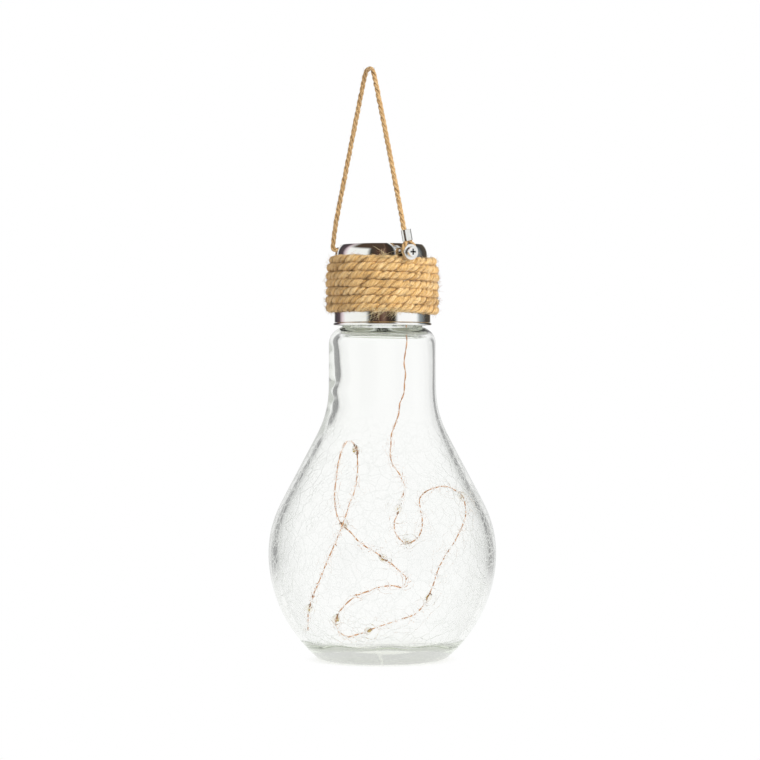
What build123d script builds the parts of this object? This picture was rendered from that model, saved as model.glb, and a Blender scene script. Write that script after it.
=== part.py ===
from build123d import *
from math import atan2, cos, pi, radians, sin, sqrt, tan
import os

os.makedirs("parts", exist_ok=True)

# Hanging bulb jar light. Millimetres, Z up, origin on the table under the bulb's axis.
# The photographed side faces -Y and +X is to its right.

# Glass jar, blown in the shape of a light bulb
bulb_radius = 49.0
bulb_height = 46.0
foot_radius = 27.0
foot_rounding = 2.5
bulb_to_neck = 70.0
neck_radius = 23.0
neck_length = 19.6
neck_shoulder_radius = 7.2
finish_radius = 17.2
finish_height = 13.3
rim_rounding = 0.9
glass_wall = 2.9
base_thickness = 5.5
floor_rounding = 5.0
# Shape of the cone between bulb and neck: its slope against the mean slope,
# and the bulb's share of the two arcs that it joins
cone_steepness = 1.37
bulb_arc_share = 0.527

# Screw thread between jar and cap
thread_pitch = 3.0
thread_turns = 1.2
thread_depth = 1.1
thread_root = 1.4
thread_crest = 0.7
thread_gap = 0.35
thread_foot_gap = 3.2
thread_bite = 0.3

# Closure stack above the jar's rim
seal_thickness = 1.0
liner_wall = 1.6
web_thickness = 1.5
web_overhang = 0.3
cover_thickness = 1.5

# Drawn metal cap
cap_wall = 0.5
cap_gap = 0.1
cap_foot_gap = 0.55
curl_radius = 0.75
curl_inset = 0.25
cap_taper = 1.45
taper_start_below_top = 12.5
taper_end_below_top = 7.0
crown_height = 4.3
crown_inset = 1.5
lip_width = 3.2

# Electronics module under the solar panel
module_gap = 0.9
module_wall = 1.2
module_depth = 13.4
plate_thickness = 1.2
foam_thickness = 0.6
panel_board_thickness = 1.0
panel_resin_thickness = 1.0
panel_sink = 0.2
panel_gap = 0.2
wafer_count = 5
wafer_width = 4.6
wafer_gap = 0.5
wafer_thickness = 0.3
wafer_margin = 1.6

post_radius = 1.8
cover_screw_radius = 0.9
cover_screw_head_radius = 1.6
cover_screw_head_height = 1.1
cover_screw_length = 8.0
cover_screw_spots = ((0.0, 12.0), (8.0, -9.0), (-8.0, -9.0))
screw_play = 0.05

cell_radius = 5.25
cell_length = 17.0
cell_depth = 4.4
cell_lift = 0.9
cell_tab_size = 4.0
cell_tab_thickness = 0.3
cradle_spread = 6.0
cradle_thickness = 1.5
cradle_width = 8.0
cradle_gap = 0.1

board_width = 12.0
board_length = 10.6
board_front = -12.6
board_thickness = 1.0
board_height = 3.6
peg_radius = 1.1
peg_spread = 4.6
peg_front = -11.2

switch_length = 9.0
switch_width = 4.4
switch_front = -6.0
switch_wall = 0.9
slider_length = 5.0
slider_thickness = 1.1
slider_travel = 2.0
slider_gap = 0.1
knob_length = 2.2
knob_width = 2.0
knob_height = 3.2
slot_gap = 0.3

chip_length = 3.0
chip_width = 1.8
chip_height = 1.2
coil_radius = 1.25
coil_length = 5.0
capacitor_radius = 1.5
capacitor_height = 4.0
lead_radius = 0.5
panel_lead_spread = 1.5
panel_lead_front = -11.6
lead_hole_gap = 0.3
cell_lead_reach = 2.4
cell_lead_rise = 2.0
cell_lead_pad_x = 3.6
cell_lead_pad_y = -4.6

grommet_x = 9.6
grommet_y = -2.7
grommet_radius = 1.25
grommet_flange = 2.0
grommet_flange_thickness = 0.7
grommet_gap = 0.05

# Jute wound round the cap
wrap_twine = 2.95
wrap_pitch = 3.42
wrap_half_turns = 13
wrap_start_angle = 190.0
wrap_below_top = 6.5
wrap_front_drop = 0.3
wrap_gap = 0.15
wrap_grip = 1.0

# Hanging loop: two crimped eyes under screws, and the loop of twine between them
loop_screw_angle = -61.0
loop_screw_below_top = 4.0
loop_screw_radius = 1.45
loop_screw_length = 8.5
loop_screw_head_radius = 2.4
loop_screw_head_height = 1.6
loop_screw_head_taper = 12.0
recess_width = 0.7
recess_length = 2.6
recess_depth = 0.8
washer_radius = 3.3
washer_thickness = 0.6
washer_gap = 0.05
nut_flats = 5.0
nut_thickness = 1.2
eye_twine = 1.7
eye_stand_off = 4.25
eye_play = 0.2
strand_offset = 0.9
strand_bend = 3.0
sleeve_start = 4.9
sleeve_length = 4.7
sleeve_wall = 0.4
sleeve_gap = 0.1
front_lean = 11.0
back_lean = 80.0
back_bend_share = 0.9
back_bend_run = 12.4
loop_twine = 2.2
pivot_gap = 0.35
loop_back_x = -20.4
loop_back_y = 14.0
loop_apex_x = -5.5
loop_apex_y = -4.6
loop_apex_height = 253.4
loop_apex_half_run = 2.1

# Copper micro-wire with LED drops, hanging from the cap into the bulb
wire_diameter = 0.7
drop_radius = 1.7
drop_length = 4.6
drop_bite = 0.05
drop_runs = (13, 16, 23, 29, 33, 36, 44, 47, 53, 59)
led_length = 1.2
led_width = 0.6
led_height = 0.5
led_gap = 0.05

# Heights and radii that follow from the sizes above
neck_bottom = bulb_height + bulb_to_neck
neck_top = neck_bottom + neck_length
shoulder_centre = neck_radius - neck_shoulder_radius
finish_bottom = neck_top + sqrt(neck_shoulder_radius**2 - (finish_radius - shoulder_centre) ** 2)
rim_height = finish_bottom + finish_height
mouth_radius = finish_radius - glass_wall
thread_bottom = finish_bottom + thread_foot_gap

web_bottom = rim_height + seal_thickness
cover_bottom = web_bottom + web_thickness
module_bottom = cover_bottom + cover_thickness
plate_bottom = module_bottom + module_depth
plate_top = plate_bottom + plate_thickness
foam_top = plate_top + foam_thickness
panel_top = foam_top + panel_board_thickness
resin_top = panel_top + panel_resin_thickness
module_top = resin_top + panel_sink
cap_top = module_top + cap_gap + cap_wall

liner_inner = finish_radius + thread_depth + thread_gap
liner_outer = liner_inner + liner_wall
cap_inner = liner_outer + cap_gap
cap_radius = cap_inner + cap_wall
cap_bottom = finish_bottom + cap_foot_gap
liner_bottom = cap_bottom + 2 * curl_radius + cap_gap
web_inner = mouth_radius - web_overhang
waist_radius = cap_radius - cap_taper
crown_radius = waist_radius - crown_inset
taper_start = cap_top - taper_start_below_top
taper_end = cap_top - taper_end_below_top
crown_start = cap_top - crown_height
module_radius = crown_radius - cap_wall - module_gap
recess_radius = module_radius - module_wall
panel_radius = recess_radius - panel_gap

board_bottom = module_bottom + board_height
board_top = board_bottom + board_thickness
cell_height = module_bottom + cell_lift + cell_radius
loop_screw_height = cap_top - loop_screw_below_top


def cap_radius_at(height):
    """Outside radius of the cap's side at a height."""
    if height <= taper_start:
        return cap_radius
    if height >= taper_end:
        return waist_radius
    return cap_radius - cap_taper * (height - taper_start) / (taper_end - taper_start)


def keep(piece, name):
    """Label a finished piece and write it as its own node."""
    piece.label = name
    export_step(piece, f"parts/{name}.step")


def ring(inner, outer, bottom, top):
    """Add a ring round the jar's axis to the part in work."""
    with Locations((0, 0, bottom)):
        Cylinder(outer, top - bottom, align=(Align.CENTER, Align.CENTER, Align.MIN))
    if inner > 0:
        with Locations((0, 0, bottom)):
            Cylinder(
                inner,
                top - bottom,
                align=(Align.CENTER, Align.CENTER, Align.MIN),
                mode=Mode.SUBTRACT,
            )


# Glass jar: one blown wall with a heavy foot, a smooth neck and a threaded finish
cone_angle = cone_steepness * atan2(bulb_radius - neck_radius, bulb_to_neck)
arc_sum = (
    bulb_to_neck * sin(cone_angle) - (bulb_radius - neck_radius) * cos(cone_angle)
) / (1 - cos(cone_angle))
bulb_arc = bulb_arc_share * arc_sum
neck_arc = arc_sum - bulb_arc
lower_arc = ((bulb_radius - foot_radius) ** 2 + bulb_height**2) / (2 * (bulb_radius - foot_radius))
floor_radius = (
    bulb_radius
    - lower_arc
    + sqrt((lower_arc - glass_wall) ** 2 - (bulb_height - base_thickness) ** 2)
)
inner_shoulder_radius = max(mouth_radius, shoulder_centre)
inner_shoulder_height = neck_top + sqrt(
    (neck_shoulder_radius - glass_wall) ** 2 - (inner_shoulder_radius - shoulder_centre) ** 2
)


def glass_side(inset, foot, shoulder_end):
    """Draw one face of the glass wall from the foot to the shoulder under the finish."""
    belly = (bulb_radius - inset, bulb_height)
    cone_low = (
        bulb_radius - bulb_arc + (bulb_arc - inset) * cos(cone_angle),
        bulb_height + (bulb_arc - inset) * sin(cone_angle),
    )
    cone_high = (
        neck_radius + neck_arc - (neck_arc + inset) * cos(cone_angle),
        neck_bottom - (neck_arc + inset) * sin(cone_angle),
    )
    neck_low = (neck_radius - inset, neck_bottom)
    neck_high = (neck_radius - inset, neck_top)
    TangentArc(belly, foot, tangent=(0, -1))
    TangentArc(belly, cone_low, tangent=(0, 1))
    Line(cone_low, cone_high)
    TangentArc(neck_low, cone_high, tangent=(0, -1))
    Line(neck_low, neck_high)
    TangentArc(neck_high, shoulder_end, tangent=(0, 1))


def ridge_points(root, crest):
    """Outline of a thread ridge from inside its wall to its crest, across the thread's path."""
    return [
        (root, -thread_root / 2),
        (crest, -thread_crest / 2),
        (crest, thread_crest / 2),
        (root, thread_root / 2),
    ]


with BuildPart() as glass_bulb:
    with BuildSketch(Plane.XZ):
        with BuildLine():
            glass_side(0, (foot_radius, 0), (finish_radius, finish_bottom))
            glass_side(
                glass_wall,
                (floor_radius, base_thickness),
                (inner_shoulder_radius, inner_shoulder_height),
            )
            Polyline((foot_radius, 0), (0, 0), (0, base_thickness), (floor_radius, base_thickness))
            Polyline(
                (finish_radius, finish_bottom),
                (finish_radius, rim_height),
                (mouth_radius, rim_height),
                (mouth_radius, inner_shoulder_height),
            )
            if inner_shoulder_radius > mouth_radius:
                Line(
                    (mouth_radius, inner_shoulder_height),
                    (inner_shoulder_radius, inner_shoulder_height),
                )
        make_face()
    revolve(axis=Axis.Z)
    for level, rounding in ((1, floor_rounding), (0, foot_rounding), (-1, rim_rounding)):
        rounds = glass_bulb.edges().filter_by(GeomType.CIRCLE)
        fillet(rounds.group_by(Axis.Z)[level], rounding)
    with BuildLine() as jar_thread:
        Helix(
            thread_pitch,
            thread_pitch * thread_turns,
            finish_radius,
            center=(0, 0, thread_bottom),
        )
    jar_thread_plane = Plane(jar_thread.line @ 0, x_dir=(1, 0, 0), z_dir=jar_thread.line % 0)
    with BuildSketch(jar_thread_plane):
        Polygon(*ridge_points(-thread_bite, thread_depth))
    sweep(path=jar_thread.line, is_frenet=True)
keep(glass_bulb.part, "glass_bulb")

# Rubber seal that the cap presses on the jar's rim
with BuildPart() as seal_ring:
    ring(mouth_radius, finish_radius, rim_height, web_bottom)
keep(seal_ring.part, "seal_ring")

# Plastic liner inside the cap, with the mating thread half a pitch above the jar's
with BuildPart() as threaded_liner:
    ring(liner_inner, liner_outer, liner_bottom, cover_bottom)
    with BuildSketch(Plane.XY.offset(web_bottom)):
        Circle(liner_inner + liner_wall / 2)
        Circle(web_inner, mode=Mode.SUBTRACT)
    extrude(amount=web_thickness)
    with BuildLine() as liner_thread:
        Helix(
            thread_pitch,
            thread_pitch * thread_turns,
            liner_inner,
            center=(0, 0, thread_bottom + thread_pitch / 2),
        )
    liner_thread_plane = Plane(liner_thread.line @ 0, x_dir=(1, 0, 0), z_dir=liner_thread.line % 0)
    with BuildSketch(liner_thread_plane):
        Polygon(*ridge_points(thread_bite, -thread_depth))
    sweep(path=liner_thread.line, is_frenet=True)
keep(threaded_liner.part, "threaded_liner")


def screw_plane(angle, distance):
    """Plane across a loop screw's axis, facing outwards, at a distance from the jar's axis."""
    outward = Vector(cos(radians(angle)), sin(radians(angle)), 0)
    origin = outward * distance + Vector(0, 0, loop_screw_height)
    return Plane(origin, x_dir=(-outward.Y, outward.X, 0), z_dir=outward)


loop_angles = (loop_screw_angle, loop_screw_angle + 180)

# Metal cap: rolled lower edge, straight band, drawn-in shoulder and a lip over the panel
with BuildPart() as cap_shell:
    with BuildSketch(Plane.XZ):
        with BuildLine():
            Polyline(
                (cap_radius, cap_bottom + curl_radius),
                (cap_radius, taper_start),
                (waist_radius, taper_end),
                (waist_radius, crown_start),
            )
            TangentArc((waist_radius, crown_start), (crown_radius, cap_top), tangent=(0, 1))
            Polyline(
                (crown_radius, cap_top),
                (crown_radius - lip_width, cap_top),
                (crown_radius - lip_width, cap_top - cap_wall),
                (crown_radius - cap_wall, cap_top - cap_wall),
            )
            TangentArc(
                (waist_radius - cap_wall, crown_start),
                (crown_radius - cap_wall, cap_top - cap_wall),
                tangent=(0, 1),
            )
            Polyline(
                (waist_radius - cap_wall, crown_start),
                (waist_radius - cap_wall, taper_end),
                (cap_inner, taper_start),
                (cap_inner, cap_bottom + curl_radius),
                (cap_radius, cap_bottom + curl_radius),
            )
        make_face()
        with Locations((cap_radius - curl_inset, cap_bottom + curl_radius)):
            Circle(curl_radius)
    revolve(axis=Axis.Z)
    for angle in loop_angles:
        with BuildSketch(screw_plane(angle, module_radius)):
            Circle(loop_screw_radius + screw_play)
        extrude(amount=cap_radius - module_radius, mode=Mode.SUBTRACT)
keep(cap_shell.part, "cap_shell")

# Module housing: open below, with a plate and a recess for the solar panel on top
with BuildPart() as module_housing:
    ring(recess_radius, module_radius, module_bottom, module_top)
    with BuildSketch(Plane.XY.offset(plate_bottom)):
        Circle(recess_radius + module_wall / 2)
        with Locations((-panel_lead_spread, panel_lead_front), (panel_lead_spread, panel_lead_front)):
            Circle(lead_radius + lead_hole_gap, mode=Mode.SUBTRACT)
    extrude(amount=plate_thickness)
    with BuildSketch(Plane.XY.offset(module_bottom)):
        with Locations(*cover_screw_spots):
            Circle(post_radius)
            Circle(cover_screw_radius + screw_play, mode=Mode.SUBTRACT)
    extrude(amount=module_depth)
keep(module_housing.part, "module_housing")

# Module cover: closes the housing, carries cell and board, lets switch and wire through
with BuildPart() as module_cover:
    with BuildSketch(Plane.XY.offset(cover_bottom)):
        Circle(module_radius)
        with Locations(*cover_screw_spots):
            Circle(cover_screw_radius + screw_play, mode=Mode.SUBTRACT)
        with Locations((grommet_x, grommet_y)):
            Circle(grommet_radius + grommet_gap, mode=Mode.SUBTRACT)
        with Locations((0, switch_front)):
            Rectangle(
                knob_length + slider_travel + 2 * slot_gap,
                knob_width + 2 * slot_gap,
                mode=Mode.SUBTRACT,
            )
    extrude(amount=cover_thickness)
    with BuildSketch(Plane.XY.offset(module_bottom)):
        with Locations((-peg_spread, peg_front), (peg_spread, peg_front)):
            Circle(peg_radius)
    extrude(amount=board_height)
    with BuildSketch(Plane.XY.offset(module_bottom)):
        with Locations((-cradle_spread, cell_depth), (cradle_spread, cell_depth)):
            Rectangle(cradle_thickness, cradle_width)
    extrude(amount=cell_lift + cell_radius / 2)
    with BuildSketch(Plane.YZ.offset(-cell_length / 2)):
        with Locations((cell_depth, cell_height)):
            Circle(cell_radius + cradle_gap)
    extrude(amount=cell_length, mode=Mode.SUBTRACT)
keep(module_cover.part, "module_cover")

# Screws that hold the cover to the housing's posts, put in from the jar's side
with BuildPart() as cover_screws:
    with BuildSketch(Plane.XY.offset(cover_bottom)):
        with Locations(*cover_screw_spots):
            Circle(cover_screw_head_radius)
    extrude(amount=-cover_screw_head_height)
    with BuildSketch(Plane.XY.offset(cover_bottom)):
        with Locations(*cover_screw_spots):
            Circle(cover_screw_radius)
    extrude(amount=cover_screw_length)
    with BuildSketch(Plane.XY.offset(cover_bottom - cover_screw_head_height)):
        with Locations(*cover_screw_spots):
            Rectangle(2 * cover_screw_radius, recess_width)
            Rectangle(recess_width, 2 * cover_screw_radius)
    extrude(amount=cover_screw_head_height / 2, mode=Mode.SUBTRACT)
keep(cover_screws.part, "cover_screws")

# Foam pad between plate and panel
with BuildPart() as panel_foam:
    with BuildSketch(Plane.XY.offset(plate_top)):
        Circle(panel_radius)
        with Locations((-panel_lead_spread, panel_lead_front), (panel_lead_spread, panel_lead_front)):
            Circle(lead_radius + lead_hole_gap, mode=Mode.SUBTRACT)
    extrude(amount=foam_thickness)
keep(panel_foam.part, "panel_foam")

# Solar panel: board, silicon wafers and the clear resin poured over them
with BuildPart() as panel_board:
    with BuildSketch(Plane.XY.offset(foam_top)):
        Circle(panel_radius)
    extrude(amount=panel_board_thickness)
keep(panel_board.part, "panel_board")


def wafer_sketch():
    """Strips of silicon side by side, each as long as the round board lets it be."""
    step = wafer_width + wafer_gap
    for index in range(wafer_count):
        centre = (index - (wafer_count - 1) / 2) * step
        reach = abs(centre) + wafer_width / 2
        length = 2 * sqrt((panel_radius - wafer_margin) ** 2 - reach**2)
        with Locations((centre, 0)):
            Rectangle(wafer_width, length)


with BuildPart() as solar_wafers:
    with BuildSketch(Plane.XY.offset(panel_top)):
        wafer_sketch()
    extrude(amount=wafer_thickness)
keep(solar_wafers.part, "solar_wafers")

with BuildPart() as panel_resin:
    with BuildSketch(Plane.XY.offset(panel_top)):
        Circle(panel_radius)
    extrude(amount=panel_resin_thickness)
    with BuildSketch(Plane.XY.offset(panel_top)):
        wafer_sketch()
    extrude(amount=wafer_thickness, mode=Mode.SUBTRACT)
    fillet(panel_resin.edges().filter_by(GeomType.CIRCLE).group_by(Axis.Z)[-1], panel_resin_thickness / 2)
keep(panel_resin.part, "panel_resin")

# Rechargeable cell on its cradle, with a welded tab on each end
with BuildPart() as rechargeable_cell:
    with BuildSketch(Plane.YZ.offset(-cell_length / 2)):
        with Locations((cell_depth, cell_height)):
            Circle(cell_radius)
    extrude(amount=cell_length)
keep(rechargeable_cell.part, "rechargeable_cell")

with BuildPart() as cell_tabs:
    for side in (-1, 1):
        with BuildSketch(Plane.YZ.offset(side * cell_length / 2)):
            with Locations((cell_depth, cell_height)):
                Rectangle(cell_tab_size, cell_tab_size)
        extrude(amount=side * cell_tab_thickness)
keep(cell_tabs.part, "cell_tabs")

# Circuit board with its driver chip, boost coil and capacitor
board_centre = board_front + board_length / 2
with BuildPart() as circuit_board:
    with BuildSketch(Plane.XY.offset(board_bottom)):
        with Locations((0, board_centre)):
            Rectangle(board_width, board_length)
    extrude(amount=board_thickness)
keep(circuit_board.part, "circuit_board")

with BuildPart() as driver_chip:
    with BuildSketch(Plane.XY.offset(board_top)):
        with Locations((0, board_centre - chip_width)):
            Rectangle(chip_length, chip_width)
    extrude(amount=chip_height)
keep(driver_chip.part, "driver_chip")

with BuildPart() as boost_coil:
    with BuildSketch(Plane.XZ.offset(-board_centre + chip_width + coil_length / 2)):
        with Locations((-board_width / 2 + 2 * coil_radius, board_top + coil_radius)):
            Circle(coil_radius)
    extrude(amount=-coil_length)
keep(boost_coil.part, "boost_coil")

with BuildPart() as capacitor:
    with BuildSketch(Plane.XY.offset(board_top)):
        with Locations((board_width / 2 - 2 * capacitor_radius + lead_radius, board_centre - chip_width)):
            Circle(capacitor_radius)
    extrude(amount=capacitor_height)
keep(capacitor.part, "capacitor")

# Slide switch under the board, worked from below through the cover's slot
slider_width = switch_width - 2 * switch_wall - 2 * slider_gap
slider_rest = -slider_travel / 2
slider_bottom = module_bottom + slider_gap
with BuildPart() as switch_body:
    with BuildSketch(Plane.XY.offset(module_bottom)):
        with Locations((0, switch_front)):
            Rectangle(switch_length, switch_width)
    extrude(amount=board_height)
    with BuildSketch(Plane.XY.offset(module_bottom)):
        with Locations((0, switch_front)):
            Rectangle(slider_length + slider_travel + 2 * slider_gap, slider_width + 2 * slider_gap)
    extrude(amount=slider_thickness + 2 * slider_gap, mode=Mode.SUBTRACT)
keep(switch_body.part, "switch_body")

with BuildPart() as switch_slider:
    with BuildSketch(Plane.XY.offset(slider_bottom)):
        with Locations((slider_rest, switch_front)):
            Rectangle(slider_length, slider_width)
    extrude(amount=slider_thickness)
    with BuildSketch(Plane.XY.offset(slider_bottom)):
        with Locations((slider_rest, switch_front)):
            Rectangle(knob_length, knob_width)
    extrude(amount=-knob_height)
keep(switch_slider.part, "switch_slider")

# Rubber grommet where the lamp wire leaves the module
with BuildPart() as wire_grommet:
    for bottom, top, radius in (
        (cover_bottom - grommet_flange_thickness, cover_bottom, grommet_flange),
        (cover_bottom, module_bottom, grommet_radius),
        (module_bottom, module_bottom + grommet_flange_thickness, grommet_flange),
    ):
        with BuildSketch(Plane.XY.offset(bottom)):
            with Locations((grommet_x, grommet_y)):
                Circle(radius)
                Circle(wire_diameter / 2 + grommet_gap, mode=Mode.SUBTRACT)
        extrude(amount=top - bottom)
keep(wire_grommet.part, "wire_grommet")


def bend_radii(points, share=0.45):
    """Largest even bends for a route: a share of the shorter run at each corner."""
    radii = []
    for before, corner, after in zip(points, points[1:], points[2:]):
        first = Vector(*corner) - Vector(*before)
        second = Vector(*after) - Vector(*corner)
        half_turn = radians(first.get_angle(second)) / 2
        radii.append(share * min(first.length, second.length) / tan(half_turn))
    return radii


def report_tube(name, tube, path, diameter):
    """Print a tube's volume against its section times its length."""
    length = sum(edge.length for edge in path.edges())
    expected = pi * diameter**2 / 4 * length
    print(f"{name}: length {length:.1f} volume {tube.volume:.2f} expected {expected:.2f}")


# Leads: straight down from the panel, and from the cell's tabs round to the board
with BuildPart() as panel_leads:
    with BuildSketch(Plane.XY.offset(board_top)):
        with Locations((-panel_lead_spread, panel_lead_front), (panel_lead_spread, panel_lead_front)):
            Circle(lead_radius)
    extrude(amount=foam_top - board_top)
keep(panel_leads.part, "panel_leads")

cell_lead_start = cell_length / 2 + cell_tab_thickness
with BuildPart() as cell_leads:
    for side in (-1, 1):
        route = [
            (side * cell_lead_start, cell_depth, cell_height),
            (side * (cell_lead_start + cell_lead_reach), cell_depth, cell_height),
            (side * (cell_lead_start + cell_lead_reach), cell_lead_pad_y, cell_height + cell_lead_rise),
            (side * cell_lead_pad_x, cell_lead_pad_y, cell_height + cell_lead_rise),
            (side * cell_lead_pad_x, cell_lead_pad_y, board_top),
        ]
        with BuildLine() as lead_path:
            FilletPolyline(*route, radius=bend_radii(route))
        with BuildSketch(Plane(lead_path.line @ 0, z_dir=lead_path.line % 0)):
            Circle(lead_radius)
        sweep(path=lead_path.line)
keep(cell_leads.part, "cell_leads")

# Jute winding: half turns that drop a little in front and the rest of the pitch behind
wrap_spots = []
wrap_height = cap_top - wrap_below_top
for index in range(wrap_half_turns + 1):
    angle = radians(wrap_start_angle + 180 * index)
    radius = cap_radius_at(wrap_height - wrap_grip) + wrap_gap + wrap_twine / 2
    wrap_spots.append(Vector(radius * cos(angle), radius * sin(angle), wrap_height))
    share = wrap_front_drop if index % 2 == 0 else 1 - wrap_front_drop
    wrap_height -= share * wrap_pitch
with BuildPart() as twine_wrap:
    with BuildLine() as wrap_path:
        for index in range(wrap_half_turns):
            start = wrap_spots[index]
            end = wrap_spots[index + 1]
            angle = radians(wrap_start_angle + 180 * index)
            ahead = Vector(-sin(angle), cos(angle), 0)
            if index == 0:
                Line(start - ahead * wrap_twine, start)
            ThreePointArc(start, (start + end) * 0.5 + ahead * ((end - start).length / 2), end)
        Line(end, end - ahead * wrap_twine)
    with BuildSketch(Plane(wrap_path.line @ 0, z_dir=wrap_path.line % 0)):
        Circle(wrap_twine / 2)
    sweep(path=wrap_path.line)
keep(twine_wrap.part, "twine_wrap")
report_tube("twine_wrap", twine_wrap.part, wrap_path.line, wrap_twine)
steps_per_turn = 60
wrap_steps = steps_per_turn * wrap_half_turns // 2
wrap_points = [wrap_path.line @ (step / wrap_steps) for step in range(wrap_steps + 1)]
least_gap = min(
    (wrap_points[a] - wrap_points[b]).length
    for a in range(len(wrap_points))
    for b in range(a + steps_per_turn // 2, len(wrap_points))
)
print(f"twine_wrap: least gap to itself {least_gap - wrap_twine:.2f}")

# Screws, washers and nuts that clamp the two eyes of the hanging loop
eye_distance = waist_radius + eye_stand_off
washer_distance = eye_distance + eye_twine / 2 + washer_gap
head_distance = washer_distance + washer_thickness
nut_distance = head_distance - loop_screw_length + cap_gap
with BuildPart() as loop_screws:
    for angle in loop_angles:
        with BuildSketch(screw_plane(angle, head_distance)):
            Circle(loop_screw_radius)
        extrude(amount=-loop_screw_length)
        with BuildSketch(screw_plane(angle, head_distance)):
            Circle(loop_screw_head_radius)
        extrude(amount=loop_screw_head_height, taper=loop_screw_head_taper)
        with BuildSketch(screw_plane(angle, head_distance + loop_screw_head_height)):
            Rectangle(recess_length, recess_width)
            Rectangle(recess_width, recess_length)
        extrude(amount=-recess_depth, mode=Mode.SUBTRACT)
keep(loop_screws.part, "loop_screws")

with BuildPart() as loop_washers:
    for angle in loop_angles:
        with BuildSketch(screw_plane(angle, washer_distance)):
            Circle(washer_radius)
            Circle(loop_screw_radius + screw_play, mode=Mode.SUBTRACT)
        extrude(amount=washer_thickness)
keep(loop_washers.part, "loop_washers")

with BuildPart() as loop_nuts:
    for angle in loop_angles:
        with BuildSketch(screw_plane(angle, nut_distance)):
            RegularPolygon(nut_flats / 2, 6, major_radius=False)
            Circle(loop_screw_radius + screw_play, mode=Mode.SUBTRACT)
        extrude(amount=nut_thickness)
keep(loop_nuts.part, "loop_nuts")


def eye_plane(angle, lean):
    """Plane of a twine eye: X across the sleeve, Y along it, Z away from the jar."""
    flat = screw_plane(angle, eye_distance)
    along = flat.x_dir * sin(radians(lean)) + flat.y_dir * cos(radians(lean))
    return Plane(flat.origin, x_dir=along.cross(flat.z_dir), z_dir=flat.z_dir)


# Twine eyes: each goes once round its screw, with both strands side by side in the sleeve.
# The front one leans up and to the left, the back one lies along the cap towards the left.
front_eye = eye_plane(loop_angles[0], -front_lean)
back_eye = eye_plane(loop_angles[1], back_lean)
eye_radius = loop_screw_radius + eye_play + eye_twine / 2
flare_centre = strand_offset + strand_bend
flare_start = sqrt((eye_radius + strand_bend) ** 2 - flare_centre**2)
flare_share = eye_radius / (eye_radius + strand_bend)
sleeve_end = sleeve_start + sleeve_length
pivot_distance = sleeve_end + loop_twine / 2 + pivot_gap


def eye_line():
    """Draw a teardrop round the screw and up both strands to the sleeve's far end."""
    flare_turn = atan2(flare_start, flare_centre)
    bend_x = flare_centre - strand_bend * cos(flare_turn / 2)
    bend_y = flare_start - strand_bend * sin(flare_turn / 2)
    near_x = flare_centre * flare_share
    near_y = flare_start * flare_share
    Line((strand_offset, sleeve_end), (strand_offset, flare_start))
    ThreePointArc((strand_offset, flare_start), (bend_x, bend_y), (near_x, near_y))
    ThreePointArc((near_x, near_y), (0, -eye_radius), (-near_x, near_y))
    ThreePointArc((-near_x, near_y), (-bend_x, bend_y), (-strand_offset, flare_start))
    Line((-strand_offset, flare_start), (-strand_offset, sleeve_end))


loop_front_end = front_eye.from_local_coords(Vector(-strand_offset, pivot_distance, 0))
loop_back_end = Vector(loop_back_x, loop_back_y, loop_front_end.Z)
loop_apex = Vector(loop_apex_x, loop_apex_y, loop_apex_height)
back_bend = Vector(-strand_offset, back_bend_run, 0)
back_end = back_eye.to_local_coords(loop_back_end)
back_rise = (back_end - back_bend).normalized()
back_stub_end = back_end - back_rise * (loop_twine / 2 + pivot_gap)
back_route = [(-strand_offset, sleeve_end, 0), tuple(back_bend), tuple(back_stub_end)]

with BuildPart() as front_twine_eye:
    with BuildLine(front_eye) as eye_path:
        eye_line()
    with BuildSketch(Plane(eye_path.line @ 0, z_dir=eye_path.line % 0)):
        Circle(eye_twine / 2)
    sweep(path=eye_path.line)
keep(front_twine_eye.part, "front_twine_eye")
report_tube("front_twine_eye", front_twine_eye.part, eye_path.line, eye_twine)

with BuildPart() as back_twine_eye:
    with BuildLine(back_eye) as eye_path:
        eye_line()
        FilletPolyline(*back_route, radius=bend_radii(back_route, back_bend_share))
    with BuildSketch(Plane(eye_path.line @ 0, z_dir=eye_path.line % 0)):
        Circle(eye_twine / 2)
    sweep(path=eye_path.line)
keep(back_twine_eye.part, "back_twine_eye")
report_tube("back_twine_eye", back_twine_eye.part, eye_path.line, eye_twine)

# Crimped metal sleeves round the two strands of each eye
sleeve_hole_width = 2 * strand_offset + eye_twine + 2 * sleeve_gap
sleeve_hole_depth = eye_twine + 2 * sleeve_gap
with BuildPart() as crimp_sleeves:
    for eye in (front_eye, back_eye):
        start = eye.from_local_coords(Vector(0, sleeve_start, 0))
        with BuildSketch(Plane(start, x_dir=eye.x_dir, z_dir=eye.y_dir)):
            SlotOverall(sleeve_hole_width + 2 * sleeve_wall, sleeve_hole_depth + 2 * sleeve_wall)
            SlotOverall(sleeve_hole_width, sleeve_hole_depth, mode=Mode.SUBTRACT)
        extrude(amount=sleeve_length)
keep(crimp_sleeves.part, "crimp_sleeves")

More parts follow.
